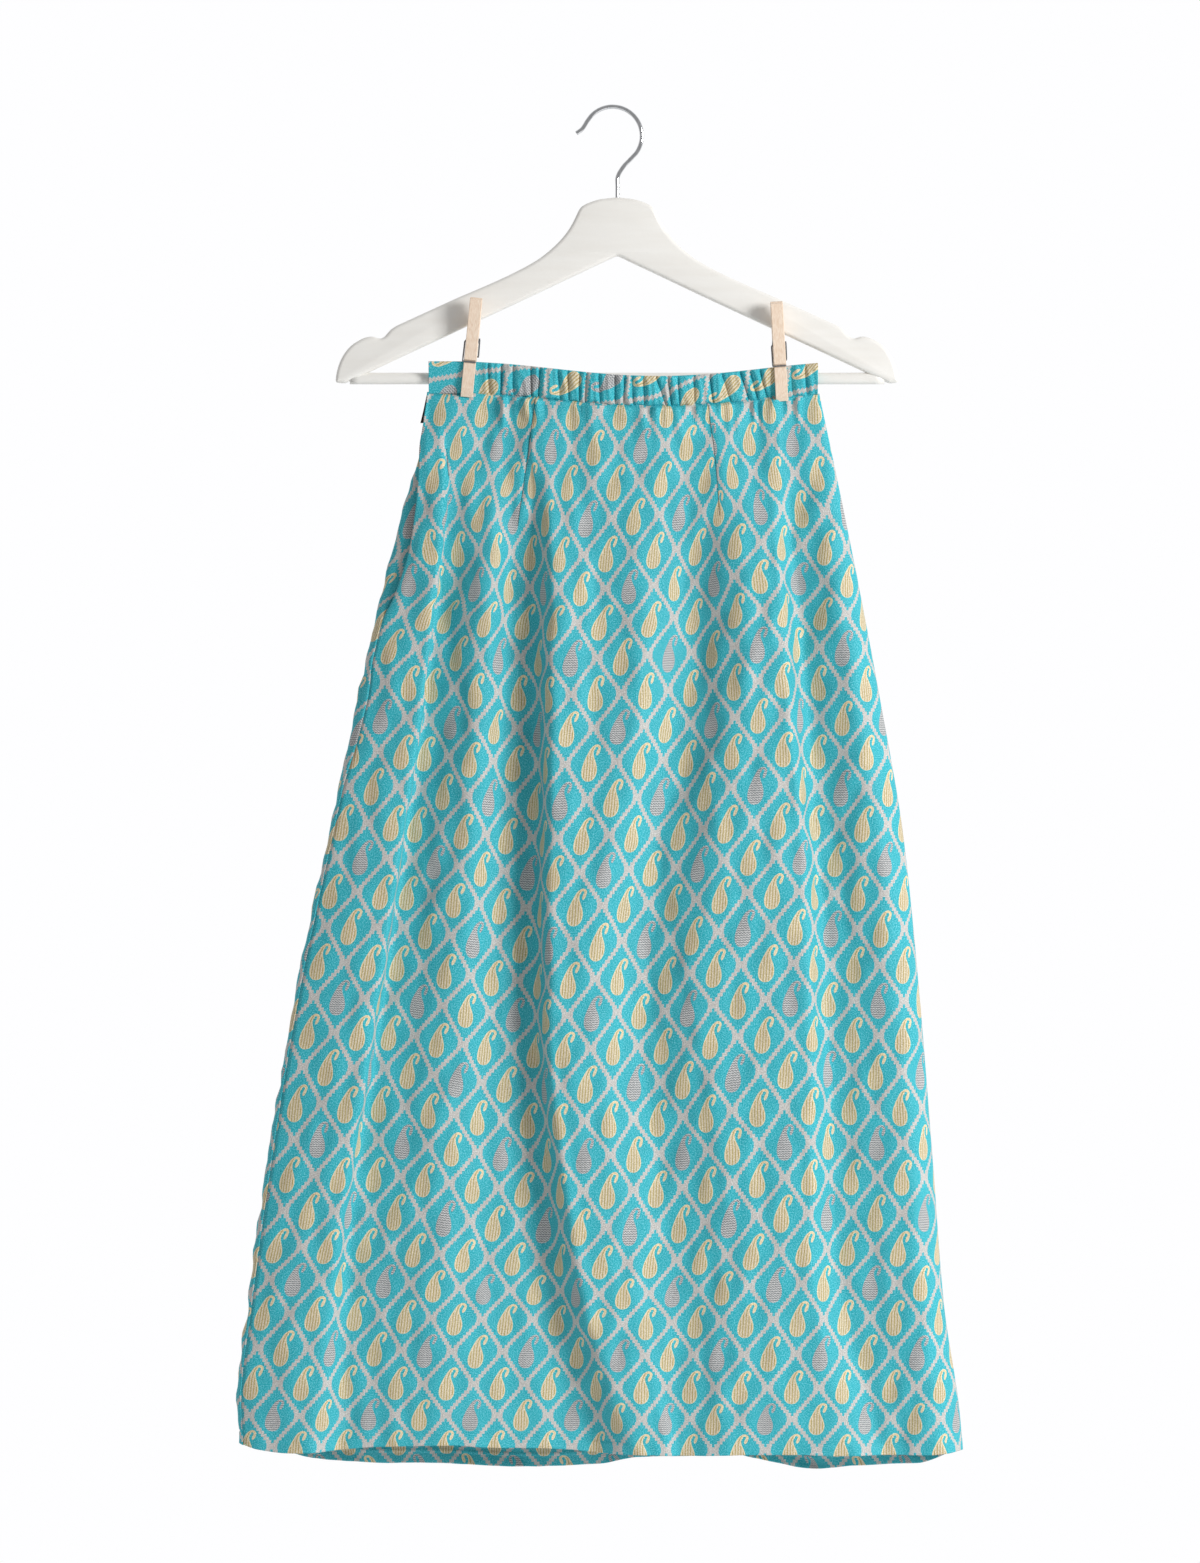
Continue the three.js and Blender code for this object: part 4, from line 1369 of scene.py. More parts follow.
@dataclass
class SkirtPanel:
    """One panel of the skirt: its drape, its small creases and its place on the flat cloth."""

    side: Side
    form: SkirtForm
    finish: Material
    wall: float = 0.9
    step_across: float = 2.7
    least_steps: int = 6
    # a stretch's length over that of its straight chord
    curved: float = 1.1
    # creases die out over this share of the width at each side
    side_fade: float = 0.025
    hem_depth: float = 9.5
    stitch_depth: float = 0.7
    stitch_width: float = 0.9
    turned_in: float = 0.35
    tucked_up: float = 1.2
    tucked_in: float = 0.7
    opening_tuck: float = 1.6
    plan: ClothPlan = field(default_factory=ClothPlan)

    # share of the rows, height: rows are closest under the band and at the hem
    ROWS = ((0.0, -226), (0.20, -268), (0.34, -330), (0.94, -1018), (1.0, -1030))
    ROW_COUNT = 220
    # rows at which the zero column's place is read, and smoothed between
    ZERO_KNOTS = 26
    # soft folds that leave the front of the band
    DRAG_LINES = (
        Pucker(-118.0, 170.0, 3.2, 15.0, -0.16),
        Pucker(-54.0, 150.0, 4.2, 17.0, -0.12),
        Pucker(-12.0, 120.0, 2.0, 13.0, 0.04),
        Pucker(34.0, 110.0, 2.4, 14.0, 0.05),
        Pucker(84.0, 160.0, 3.0, 13.0, 0.06),
        Pucker(122.0, 150.0, 2.6, 13.0, 0.12),
    )
    # short gathers, long ones, and fine ones between them
    GATHERS = (
        Gathers((7, 19), (6.5, 11.5), 34.0, 2.2),
        Gathers((11, 23), (17.0, 34.0), 95.0, 1.9),
        Gathers((31, 37), (5.0, 12.5), 30.0, 2.6),
    )
    # long shallow waves that run a little off the upright, in uneven widths, and the distances
    # below the band over which they grow
    DRAG, DRAG_BEND = Wave(23.0, 0.45), Wave(140.0, 0.9)
    DRAG_BREAK, DRAG_SLANT = Wave(61.0), 90.0
    DRAG_DROPS = (20.0, 120.0)
    # slanting puckers between the hem's stitches and its edge, of uneven height
    HEM, HEM_BEND, HEM_SLANT = Wave(2.9, 0.5), Wave(31.0, 1.3), 0.7
    HEM_LEAST, HEM_SWELL, HEM_SWELL_BEND = 0.55, Wave(19.0, 0.45), Wave(47.0)
    # distances above the hem's stitches over which its puckers and its turned-in layer fade
    HEM_FADES, TURN_FADES = (-1.0, 5.0), (-0.5, 0.5)
    # distances below the band over which creases grow, and over which the two tucks fade
    SEAM_DROPS, TUCK_DROPS, OPENING_DROPS = (0.0, 1.5), (-0.6, 2.6), (1.0, 6.5)
    # x over which the tuck beside the side opening dies out
    OPENING_X = (-118.0, -106.0)
    # crumples: how many waves, their seeds front and back, their least and greatest length,
    # their height as a share of it, and their unevenness
    CRUMPLE_WAVES, CRUMPLE_SEEDS = 12, (5, 6)
    CRUMPLE_LENGTHS, CRUMPLE_HEIGHT = (10.0, 34.0), 0.009
    CRUMPLE_BEND = Wave(3.7, 1.5)

    @property
    def name(self) -> str:
        """The piece's name."""
        return f"cloth_{self.side.value}"

    @property
    def darts(self) -> tuple[Dart, Dart]:
        """The panel's left and right dart."""
        return self.side.pick(FRONT_DARTS, BACK_DARTS)

    def heights(self) -> Grid:
        """Gives the heights of the rows."""
        share = np.linspace(0, 1, self.ROW_COUNT)
        return np.interp(share, [row[0] for row in self.ROWS], [row[1] for row in self.ROWS])

    def drape(self) -> tuple[Grid, Grid, Grid]:
        """Works out the panel's points from its sections.

        Each section hangs between the band's edge above it and the hem below it: its points'
        heights are shared out evenly between the two.

        Returns:
            x, y and z, as arrays of row by column.
        """
        form, z = self.form, self.heights()
        knots = self.side.pick(form.front_knots, form.back_knots)(z)
        chord = np.hypot(np.diff(knots[0], axis=1), np.diff(knots[1], axis=1)).mean(0)
        steps = np.round(self.curved * chord / self.step_across)
        counts = np.maximum(self.least_steps, steps).astype(int).tolist()
        x, y = form.section_grid(knots, counts)
        hem = table_column(self.side.pick(form.front_hem, form.back_hem), 0, 1)
        waist, foot = form.stations[0], form.stations[-1]
        drop = ((waist - z) / (waist - foot))[:, None]
        top = form.band_bottom(x[0]) + self.tucked_up
        height = top * (1 - drop) + hem(x[-1]) * drop
        return x, y + form.mid_plane(height), height

    def creases(self, x: Grid, z: Grid, drop: Grid, rise: Grid) -> Grid:
        """Adds up the small creases of the cloth.

        Args:
            x: Where each point is.
            z: Its height.
            drop: How far it hangs below the band.
            rise: How far it is above the hem.

        Returns:
            How far each point stands out of the smooth drape.
        """
        front = self.side is Side.FRONT
        puckers = [*self.DRAG_LINES] if front else []
        for row in self.GATHERS:
            puckers += row.scatter(self.side)
        total = self.crumple(x, z)
        for pucker in puckers:
            total += pucker.raise_by(x, drop)
        for dart in self.darts:
            total += dart.groove(x, z)
        drag = self.DRAG.at(x, self.DRAG_BEND.at(z))
        drag *= self.DRAG_BREAK.at(z, x / self.DRAG_SLANT)
        total += drag * smooth_step(drop, *self.DRAG_DROPS)
        # hem: puckers, the turned-in layer under them, and the stitches pulled in
        above = rise - self.hem_depth
        slanting = self.HEM.at(x + self.HEM_SLANT * rise, self.HEM_BEND.at(x))
        swell = self.HEM_LEAST + self.HEM_SWELL.at(x, self.HEM_SWELL_BEND.at(x))
        total += slanting * swell * (1 - smooth_step(above, *self.HEM_FADES))
        total += self.turned_in * (1 - smooth_step(above, *self.TURN_FADES))
        total -= self.stitch_depth * ridge(above, self.stitch_width)
        tuck = self.tucked_in * (1 - smooth_step(drop, *self.TUCK_DROPS))
        if front:
            beside_opening = 1 - smooth_step(x, *self.OPENING_X)
            opened = 1 - smooth_step(drop, *self.OPENING_DROPS)
            tuck += self.opening_tuck * beside_opening * opened
        return total * smooth_step(drop, *self.SEAM_DROPS) - tuck

    def crumple(self, x: Grid, z: Grid) -> Grid:
        """Gives the faint crumples of worn cloth: plane waves of drawn lengths and directions.

        Args:
            x: Where each point is.
            z: Its height.

        Returns:
            How far each point stands out.
        """
        rng = np.random.default_rng(self.side.pick(*self.CRUMPLE_SEEDS))
        total = np.zeros_like(x)
        for _ in range(self.CRUMPLE_WAVES):
            length, turn = rng.uniform(*self.CRUMPLE_LENGTHS), rng.uniform(0, np.pi)
            phase = rng.uniform(0, 2 * np.pi)
            at = (x * math.cos(turn) + z * math.sin(turn)) * 2 * np.pi / length
            wave = np.sin(at + phase + self.CRUMPLE_BEND.at(at))
            total += self.CRUMPLE_HEIGHT * length * wave
        return total

    def cloth_places(self, x: Grid, y: Grid, z: Grid) -> tuple[Grid, Grid]:
        """Works out where each point lies on the flat cloth.

        u is the length along the section from the zero column, plus the cloth that ease holds
        in.  v falls with height, row by row, and the outer columns ride a little higher.

        Args:
            x: The drape's points.
            y: The same.
            z: The same.

        Returns:
            u and v, in mm.
        """
        plan = self.plan
        steps = np.hypot(np.diff(x, axis=1), np.diff(y, axis=1))
        along = np.concatenate([np.zeros((len(x), 1)), np.cumsum(steps, axis=1)], 1)
        number = table_column(plan.rows, 0, 2)
        if self.side is Side.BACK:
            half = along[:, -1:] / 2
            held = table_column(plan.back_ease, 0, 1)(z[:, :1])
            return (along - half) * (1 + held / half), -REPEAT_Y * number(z)
        zero_x = table_column(plan.rows, 0, 1)(z)
        off = x - zero_x
        crossing = off[:, :-1] * off[:, 1:] <= 0
        nearest = np.argmin(np.where(crossing, y[:, :-1], np.inf), axis=1)
        rows = np.arange(len(x))
        before, after = off[rows, nearest], off[rows, nearest + 1]
        share = before / (before - after)
        start = along[rows, nearest] + share * steps[rows, nearest]
        level = z[rows, nearest]
        keep = np.linspace(0, len(x) - 1, self.ZERO_KNOTS).astype(int)
        zero = smooth_through(level[keep][::-1], start[keep][::-1])(level)
        ease = plan.look_up(plan.ease_x, plan.ease, x, z)
        lift = plan.look_up(plan.lift_x, plan.lift, x, z)
        u = along - zero[:, None] + ease * REPEAT_X
        columns = np.abs(u / REPEAT_X - plan.bow_middle)
        bow = table_column(plan.bow, 0, 1)(z) * smooth_step(columns, *plan.bow_columns)
        return u, -REPEAT_Y * (number(z) + bow + lift)

    def build(self) -> Object:
        """Makes the panel's sheet with its cloth map, and gives it its thickness.

        Returns:
            The piece.
        """
        x, y, z = self.drape()
        u, v = self.cloth_places(x, y, z)
        along_x, along_y = np.gradient(x, axis=1), np.gradient(y, axis=1)
        length = np.maximum(np.hypot(along_x, along_y), 1e-6)
        drop = self.form.band_bottom(x) - z
        rise = z - z[-1:]
        out = self.creases(x, z, drop, rise)
        ends = np.linspace(0, 1, x.shape[1])
        out *= np.minimum(1, np.minimum(ends, 1 - ends) / self.side_fade)
        points = np.stack([x + along_y / length * out, y - along_x / length * out, z], -1)
        rows, columns = x.shape
        faces = grid_faces(rows, columns, Edges.OPEN)[:, ::-1]
        piece = make_piece(self.name, points.reshape(-1, 3), faces.tolist())
        corners = np.stack([u.ravel(), v.ravel()], 1)[faces]
        for dart, label, way in zip(self.darts, DART_LABELS, (-1.0, 1.0)):
            off = (dart.line(z) - x) * way
            taken = dart.taken(z) * self.side.pick(way, -way)
            known = np.stack([off, taken, 0 * off], -1).astype(np.float32)
            layer = piece.data.attributes.new(label, "FLOAT_VECTOR", "POINT")
            layer.data.foreach_set("vector", known.ravel())
        set_cloth_map(piece, corners.reshape(-1, 2))
        add_wall(piece, self.wall)
        node = f"skirt_{self.side.value}"
        return finish_piece(piece, self.finish, [node])


# ------------------------------------------------------------------ waistband and tab


@dataclass(frozen=True)
class PinPlace:
    """Where a clothespin sits: x of its middle, height of its jaws, and its lean sideways."""

    name: str
    x: float
    jaw_z: float
    lean: float


PIN_PLACES = (
    PinPlace("pin_left", -111.2, -219.9, math.radians(5.9)),
    PinPlace("pin_right", 129.8, -223.0, math.radians(-3.5)),
)


@dataclass
class Waistband:
    """One side of the elastic waistband: a soft flat strip, drawn into creases by its elastic."""

    side: Side
    form: SkirtForm
    finish: Material
    thickness: float = 1.9
    squareness: float = 10.0
    puff: float = 2.2
    puff_reach: float = 2.6
    crease_width: float = 0.7
    crease_depth: float = 2.3
    # the strip is cut on the bias and turned by this much, and held in to 1 of 1.04
    bias: float = math.radians(135)
    held_in: float = 1.04
    # place along the strip at x = 0, and a step down by which its right part is set off
    pattern_start: float = 37.1
    offset_rows: Table = ((-150, 0), (28, 0), (76, 9), (160, 9))
    # x at the upper edge, drift to the lower edge, depth
    creases: Table = (
        (-96.0, 1.5, 0.7), (-85.2, -1.0, 1.3), (-76.7, 0.5, 0.7), (-62.9, 0.5, 1.2),
        (-55.9, -1.5, 1.0), (-42.1, 2.0, 0.5), (-34.4, 1.0, 0.9), (-25.1, -0.5, 1.1),
        (-19.7, -1.5, 1.0), (-10.5, 1.5, 0.6), (1.8, 0.5, 1.0), (9.6, -1.0, 1.0),
        (14.9, 1.5, 0.6), (24.0, 0.5, 0.8), (33.4, 8.0, 0.9), (42.7, 3.0, 1.3),
        (50.4, 1.5, 0.7), (62.7, 1.0, 0.8), (75.0, 3.0, 1.1), (84.3, 7.0, 0.8),
        (98.2, 7.5, 1.1), (105.9, 6.5, 0.9), (113.6, 6.0, 0.9), (136.7, 3.0, 0.8),
        (148.5, 2.0, 0.6),
    )
    STEPS = 700
    ROUND = 34
    # how a puff's distance from its crease varies down the band
    UNEVEN, UNEVEN_TURNS = 1.5, 2.2
    # fine slanting wrinkles on the puffs
    WRINKLE, WRINKLE_BEND = Wave(0.9, 0.3), Wave(7.0, 2.0)
    WRINKLE_SLANT, WRINKLE_TURNS = 5.0, 3.0
    # the lower edge is drawn up and down by the gathers, right of the left pin
    SCALLOP, SCALLOP_BEND, SCALLOP_X = Wave(1.7, 0.55), Wave(9.0, 2.4), (-100.0, -84.0)
    # x where the puffs begin at the back, and over what distances from there they grow
    BACK_START, START_GROWS = -160.0, (-10.0, 2.0)
    # distances over which they grow beside a pin's middle, and off the bar at the back, whose
    # touch is this much above its middle
    PIN_REACH, BAR_REACH, BAR_TOUCH = (5.2, 12.0), (1.5, 6.0), 1.5

    @property
    def name(self) -> str:
        """The piece's name."""
        return f"band_{self.side.value}"

    def stand_out(self, x: Grid, share: Grid) -> Grid:
        """Works out the puffs between creases, and the creases' own dents.

        A puff rises away from the nearest crease as one minus a bell curve.

        Args:
            x: Where each point is.
            share: 0 at the band's upper edge, 1 at the lower.

        Returns:
            How far the cloth stands out of the flat strip.
        """
        mirror = self.side.pick(1.0, -1.0)
        nearest = np.full_like(x, np.inf)
        dents = np.zeros_like(x)
        for top, drift, depth in self.creases:
            off = np.abs(mirror * x - top - drift * share)
            uneven = self.UNEVEN * np.sin(self.UNEVEN_TURNS * share + top) ** 2
            nearest = np.minimum(nearest, off + uneven)
            dents += depth * ridge(off, self.crease_width)
        puffs = self.puff * (1 - ridge(nearest, self.puff_reach)) - self.crease_depth * dents
        bend = self.WRINKLE_BEND.at(x, self.WRINKLE_TURNS * share)
        puffs += self.WRINKLE.at(mirror * x - self.WRINKLE_SLANT * share, bend)
        start = self.side.pick(self.creases[0][0], self.BACK_START)
        puffs *= smooth_step(x, start + self.START_GROWS[0], start + self.START_GROWS[1])
        for pin in PIN_PLACES:
            puffs *= smooth_step(np.abs(x - pin.x), *self.PIN_REACH)
        return puffs

    def build(self) -> Object:
        """Makes the strip: a superellipse section carried from end to end.

        Its half thickness at a share h of the height is (1 - (2h)^squareness)^(1/2).

        Returns:
            The piece.
        """
        form, front = self.form, self.side is Side.FRONT
        x = np.linspace(form.band_left, form.band_right, self.STEPS)[:, None]
        angle = np.linspace(0, 2 * np.pi, self.ROUND, endpoint=False)[None, :]
        high = 0.5 * np.cos(angle)
        plump = np.sqrt(1 - np.abs(2 * high) ** self.squareness) * np.sign(np.sin(angle))
        top, bottom = form.band_top(x), form.band_bottom(x)
        scallop = self.SCALLOP.at(x, self.SCALLOP_BEND.at(x))
        bottom = bottom + scallop * smooth_step(x, *self.SCALLOP_X)
        z = (top + bottom) / 2 + (top - bottom) * high
        x = x + 0 * z
        puff = self.stand_out(x, 0.5 - high) * np.abs(plump) ** 2
        if front:
            middle = form.front_band_y(x, z) + self.thickness / 2
            y = middle - plump * self.thickness / 2 - puff
        else:
            middle = form.rear_band_y(x, z) - self.thickness / 2
            off_bar = smooth_step(np.abs(z - BAR_Z - self.BAR_TOUCH), *self.BAR_REACH)
            y = middle - plump * self.thickness / 2 + puff * off_bar * (plump < 0)
        points = np.stack([x, y, z], -1).reshape(-1, 3)
        rows, columns = x.shape
        faces = grid_faces(rows, columns, Edges.TUBE)
        ring, last = np.arange(columns), (rows - 1) * columns
        ends = [ring[::-1].tolist(), (ring + last).tolist()]
        piece = make_piece(self.name, points, faces.tolist() + ends)
        along = x * self.held_in + self.pattern_start
        across = z - (top + bottom) / 2 - table_column(self.offset_rows, 0, 1)(x)
        cos, sin = math.cos(-self.bias), math.sin(-self.bias)
        places = np.stack([along * cos - across * sin, along * sin + across * cos], -1)
        places = places.reshape(-1, 2)
        corners = [places[faces].reshape(-1, 2)] + [places[end] for end in ends]
        set_cloth_map(piece, np.concatenate(corners))
        node = f"waistband_{self.side.value}"
        return finish_piece(piece, self.finish, [node])


@dataclass
class LabelTab:
    """The black tab caught in the side opening: a strip of tape, a little twisted."""

    form: SkirtForm
    finish: Material
    forward: float = 1.25
    wall: float = 0.7
    twist: Wave = Wave(5.0, 0.25)
    rows: int = 24
    columns: int = 13
    # z, left edge, right edge
    edges: Table = (
        (-221.4, -143.6, -134.0), (-226.5, -144.8, -135.0), (-232.0, -146.0, -136.2),
        (-238.0, -147.4, -137.6), (-243.0, -148.6, -138.8),
    )

    def build(self) -> Object:
        """Makes the tape, bowed across its width, one way and then the other down its length.

        Returns:
            The piece.
        """
        top = self.edges[0][0]
        z = np.linspace(top, self.edges[-1][0], self.rows)[:, None]
        t = np.linspace(0, 1, self.columns)[None, :]
        left, right = (table_column(self.edges, 0, column)(z) for column in (1, 2))
        x = left + (right - left) * t
        bow = self.twist.at(z - top) * np.sin(np.pi * t)
        y = self.form.mid_plane(z) - self.forward + bow
        points = np.stack([x, y + 0 * x, z + 0 * x], -1).reshape(-1, 3)
        faces = grid_faces(self.rows, self.columns, Edges.OPEN)[:, ::-1].tolist()
        piece = make_piece("tab", points, faces)
        add_wall(piece, self.wall)
        return finish_piece(piece, self.finish, ["label_tab"])


# ------------------------------------------------------------------ hanger


@dataclass
class Hanger:
    """The coat hanger: a flat board with eased edges, a round bar, and a wire hook."""

    paint: Material
    chrome: Material
    centre_x: float = 3.4
    thickness: float = 11.0
    ease: float = 3.0
    crown_z: float = -68.6
    bar_radius: float = 4.5
    bar_half: float = 206.5
    wire: float = 3.5
    hook_radius: float = 22.6
    hook_centre_z: float = -20.85

    # steps in each stretch, distance between the outline's points, and how often they are
    # averaged with their neighbours to soften its corners
    STEPS, SPACING, SOFTENED = 14, 1.2, 2
    # points along and round the bar, steps in each stretch of the hook, and points round it
    BAR_POINTS, BAR_SIDES, HOOK_STEPS, HOOK_SIDES = 60, 40, 10, 28
    # degrees from the x axis: first, end and step of the arc's points
    ARC = (-35, 151, 15.4)
    # x, z of the hook's wire before and after its arc
    SHANK = ((3.8, -72.0), (3.8, -60.0), (4.0, -52.5), (8.2, -45.0), (13.4, -39.4))
    TIP = ((-23.4, -15.4), (-28.0, -18.9))
    # half outline from the crown round an arm's tip to the apex below: control points of each
    # stretch after its start, as x from the centre and z
    STRETCHES = (
        ((13, -70),),
        ((26, -73.5), (28.5, -77)),
        ((32.5, -82), (33.5, -97), (60, -116)),
        ((76, -126.5), (100, -136.5), (124, -146.6)),
        ((168, -166.8),),
        ((175, -169.8), (178, -174.5)),
        ((182, -180), (187, -176.4)),
        ((193, -175.2), (200, -179.6)),
        ((210, -184.5), (217, -197), (217.6, -211.6)),
        ((210.5, -212.4),),
        ((61, -142.5),),
        ((0, -113.6),),
    )

    def outline(self) -> Grid:
        """Draws the board's outline, anticlockwise from the crown, with soft corners.

        Returns:
            x and z of its points.
        """
        start, half = (0.0, self.crown_z), []
        for stretch in self.STRETCHES:
            half.append(bezier([start, *stretch], self.STEPS))
            start = stretch[-1]
        right = np.concatenate([*half, [start]])
        left = right * [-1, 1]
        loop = resample(np.concatenate([left[:-1], right[:0:-1]]), self.SPACING)
        return average(loop, self.SOFTENED) + [self.centre_x, 0]

    def build_board(self) -> Object:
        """Makes the board.

        Returns:
            The piece.
        """
        points, faces = board_points(self.outline(), self.thickness, self.ease)
        piece = make_piece("hanger_board", points, faces)
        return finish_piece(piece, self.paint, ["hanger_body"])

    def build_bar(self) -> Object:
        """Makes the bar, which is let into the arm tips.

        Returns:
            The piece.
        """
        x = np.linspace(-self.bar_half, self.bar_half, self.BAR_POINTS) + self.centre_x
        path = np.stack([x, 0 * x, BAR_Z + 0 * x], 1)
        piece = tube_piece("hanger_rail", path, self.bar_radius, self.BAR_SIDES)
        return finish_piece(piece, self.paint, ["hanger_bar"])

    def build_hook(self) -> Object:
        """Makes the hook: shank, swan bend, an arc over the rail, and a tip flicked outwards.

        Returns:
            The piece.
        """
        turn = np.radians(np.arange(*self.ARC))
        arc_x = self.hook_radius * np.cos(turn)
        arc_z = self.hook_centre_z + self.hook_radius * np.sin(turn)
        route = catmull_rom([*self.SHANK, *zip(arc_x, arc_z), *self.TIP], self.HOOK_STEPS)
        path = np.stack([route[:, 0], 0 * route[:, 0], route[:, 1]], 1)
        piece = tube_piece("hook_wire", path, self.wire / 2, self.HOOK_SIDES)
        return finish_piece(piece, self.chrome, ["hanger_hook"])

    def build(self) -> list[Object]:
        """Makes the hanger's three pieces."""
        return [self.build_board(), self.build_bar(), self.build_hook()]


# ------------------------------------------------------------------ clothespins


@dataclass
class Clothespin:
    """A wooden clothespin: two halves that a wire spring holds together."""

    at: PinPlace
    beech: Material
    steel: Material
    middle: float = -2.4
    length: float = 76.0
    width: float = 9.5
    half_gap: float = 7.2
    spring_gap: float = 0.3
    edge: float = 0.7
    wire: float = 1.2
    coil_radius: float = 2.6
    coil: float = 44.0
    notch: float = 3.5
    # the groove for the spring's arms: its height, half width at the face and at its floor, depth
    groove: float = 28.0
    groove_mouth: float = 1.3
    groove_floor: float = 0.9
    groove_depth: float = 1.1
    # depth of a half's back at its fullest and at its handle, and height of the fullest
    back_depth: float = 11.6
    handle_depth: float = 4.0
    fullest: float = 9.0
    # depth of a half's inner face beside the notch, and at the handle's end
    inner: float = 1.0
    handle_inner: float = 0.8
    # where the inner face slopes from the notch to the jaws' gap: how far below the notch it
    # starts, how far above the groove it ends, and height of the corner at the jaw
    slope_start: float = 0.8
    slope_end: float = 0.6
    jaw_corner: float = 1.0
    turns: int = 7

    # depth and height of the corners round the jaw's end
    JAW = ((7.7, 0.0), (10.2, 0.0), (11.2, 3.5))
    # points of the spring's helix for each turn, how many are cut off each end for the arms to
    # join, steps in each stretch of an arm, and points round the wire
    TURN_POINTS, CUT_OFF, ARM_STEPS, WIRE_SIDES = 24, 8, 8, 12
    # points round the notch that the coil sits in, and steps across a worn edge
    NOTCH_POINTS, EDGE_STEPS = 14, 3
    # a spring's arm: share of its reach across the width where it starts to bend, how far it is
    # sunk in its groove, its corner's size, where it is halfway (share of its depth, height
    # above the groove), and where it meets the coil (depth, share of the radius from its middle)
    BENDS, SUNK, CORNER, HALFWAY, MEETS = 0.86, 0.1, 0.8, (0.55, 7.0), (0.8, 0.6)

    def place(self, points: Grid) -> Grid:
        """Puts points given as width, depth and height above the jaws where the pin sits.

        The pin tips forwards by PIN_TILT round x, then leans sideways round y.

        Args:
            points: Points of the pin standing upright.

        Returns:
            The points on the hanger.
        """
        cos, sin = math.cos(PIN_TILT), math.sin(PIN_TILT)
        raised = points + [0, self.middle, (self.at.jaw_z - BAR_Z) / cos]
        tipped = raised @ np.array([[1, 0, 0], [0, cos, sin], [0, -sin, cos]])
        cos, sin = math.cos(self.at.lean), math.sin(self.at.lean)
        leaned = tipped @ np.array([[cos, 0, -sin], [0, 1, 0], [sin, 0, cos]])
        return leaned + [self.at.x, 0, BAR_Z]

    def outer_depth(self, height: float) -> float:
        """Gives how far out the back of a half is: a straight taper from jaw to handle."""
        depths = [self.back_depth, self.handle_depth]
        return float(np.interp(height, [self.fullest, self.length], depths))

    def profile(self) -> Grid:
        """Draws a half from its side.

        Returns:
            Depth from the middle plane and height above the jaw of each corner.
        """
        low, high = self.groove - self.groove_mouth, self.groove + self.groove_mouth
        sunk = self.outer_depth(self.groove) - self.groove_depth
        half = math.sqrt(self.notch**2 - self.inner**2)
        swing = math.asin(half / self.notch)
        sweep = np.linspace(swing, -swing, self.NOTCH_POINTS)
        notch = [(self.notch * math.cos(a), self.coil + self.notch * math.sin(a)) for a in sweep]
        return np.array(
            [
                *self.JAW,
                (self.back_depth, self.fullest),
                (self.outer_depth(low), low),
                (sunk, self.groove - self.groove_floor),
                (sunk, self.groove + self.groove_floor),
                (self.outer_depth(high), high),
                (self.handle_depth, self.length),
                (self.handle_inner, self.length),
                *notch,
                (self.inner, self.coil - half - self.slope_start),
                (self.half_gap, self.groove + self.slope_end),
                (self.half_gap, self.jaw_corner),
            ]
        )

    def build_half(self, side: Side) -> Object:
        """Makes one wooden half: the profile carried across the width, its edges worn round.

        Args:
            side: Front or back.

        Returns:
            The piece.
        """
        profile, way = self.profile(), side.pick(-1, 1)
        across = np.array([[-0.5], [0.5]]) * self.width + 0 * profile[:, 0]
        deep, high = way * profile[:, 0] + 0 * across, profile[:, 1] + 0 * across
        points = np.stack([across, deep, high], -1)
        count = len(profile)
        faces = grid_faces(2, count, Edges.TUBE)
        ends = np.stack([np.arange(count)[::-1], np.arange(count) + count])
        if side is Side.BACK:
            faces, ends = faces[:, ::-1], ends[:, ::-1]
        name = f"{self.at.name}_{side.value}_half"
        lists = faces.tolist() + ends.tolist()
        piece = make_piece(name, self.place(points.reshape(-1, 3)), lists)
        worn = piece.modifiers.new("worn edges", "BEVEL")
        worn.width, worn.segments = self.edge * MM, self.EDGE_STEPS
        worn.limit_method = "ANGLE"
        worn.harden_normals = True
        return finish_piece(piece, self.beech, [f"{self.at.name}_{side.value}"])

    def build_spring(self) -> Object:
        """Makes the spring: a helix across the width, and an arm to each half's groove.

        Returns:
            The piece.
        """
        reach = self.width / 2 + self.wire / 2 + self.spring_gap
        deep = self.outer_depth(self.groove) - self.SUNK
        across, above = self.HALFWAY
        beside, share = self.MEETS
        turn = np.linspace(0, 1, self.turns * self.TURN_POINTS + 1)
        angle = np.pi / 2 + 2 * np.pi * self.turns * turn
        helix = np.stack(
            [
                reach * (2 * turn - 1),
                self.coil_radius * np.cos(angle),
                self.coil + self.coil_radius * np.sin(angle),
            ],
            1,
        )
        arms = []
        for side in (-1, 1):
            arm = [
                (-side * reach * self.BENDS, side * deep, self.groove),
                (0, side * deep, self.groove),
                (side * reach * self.BENDS, side * deep, self.groove),
                (side * reach, side * (deep - self.CORNER), self.groove + self.CORNER),
                (side * reach, side * deep * across, self.groove + above),
                (side * reach, side * beside, self.coil + side * self.coil_radius * share),
            ]
            arms.append(catmull_rom(arm, self.ARM_STEPS))
        turns = helix[self.CUT_OFF : -self.CUT_OFF]
        path = self.place(np.concatenate([arms[0][:-1], turns, arms[1][-2::-1]]))
        piece = tube_piece(f"{self.at.name}_coil", path, self.wire / 2, self.WIRE_SIDES)
        return finish_piece(piece, self.steel, [f"{self.at.name}_spring"])

    def build(self) -> list[Object]:
        """Makes the pin's three pieces."""
        return [self.build_half(Side.FRONT), self.build_half(Side.BACK), self.build_spring()]


# ------------------------------------------------------------------ studio


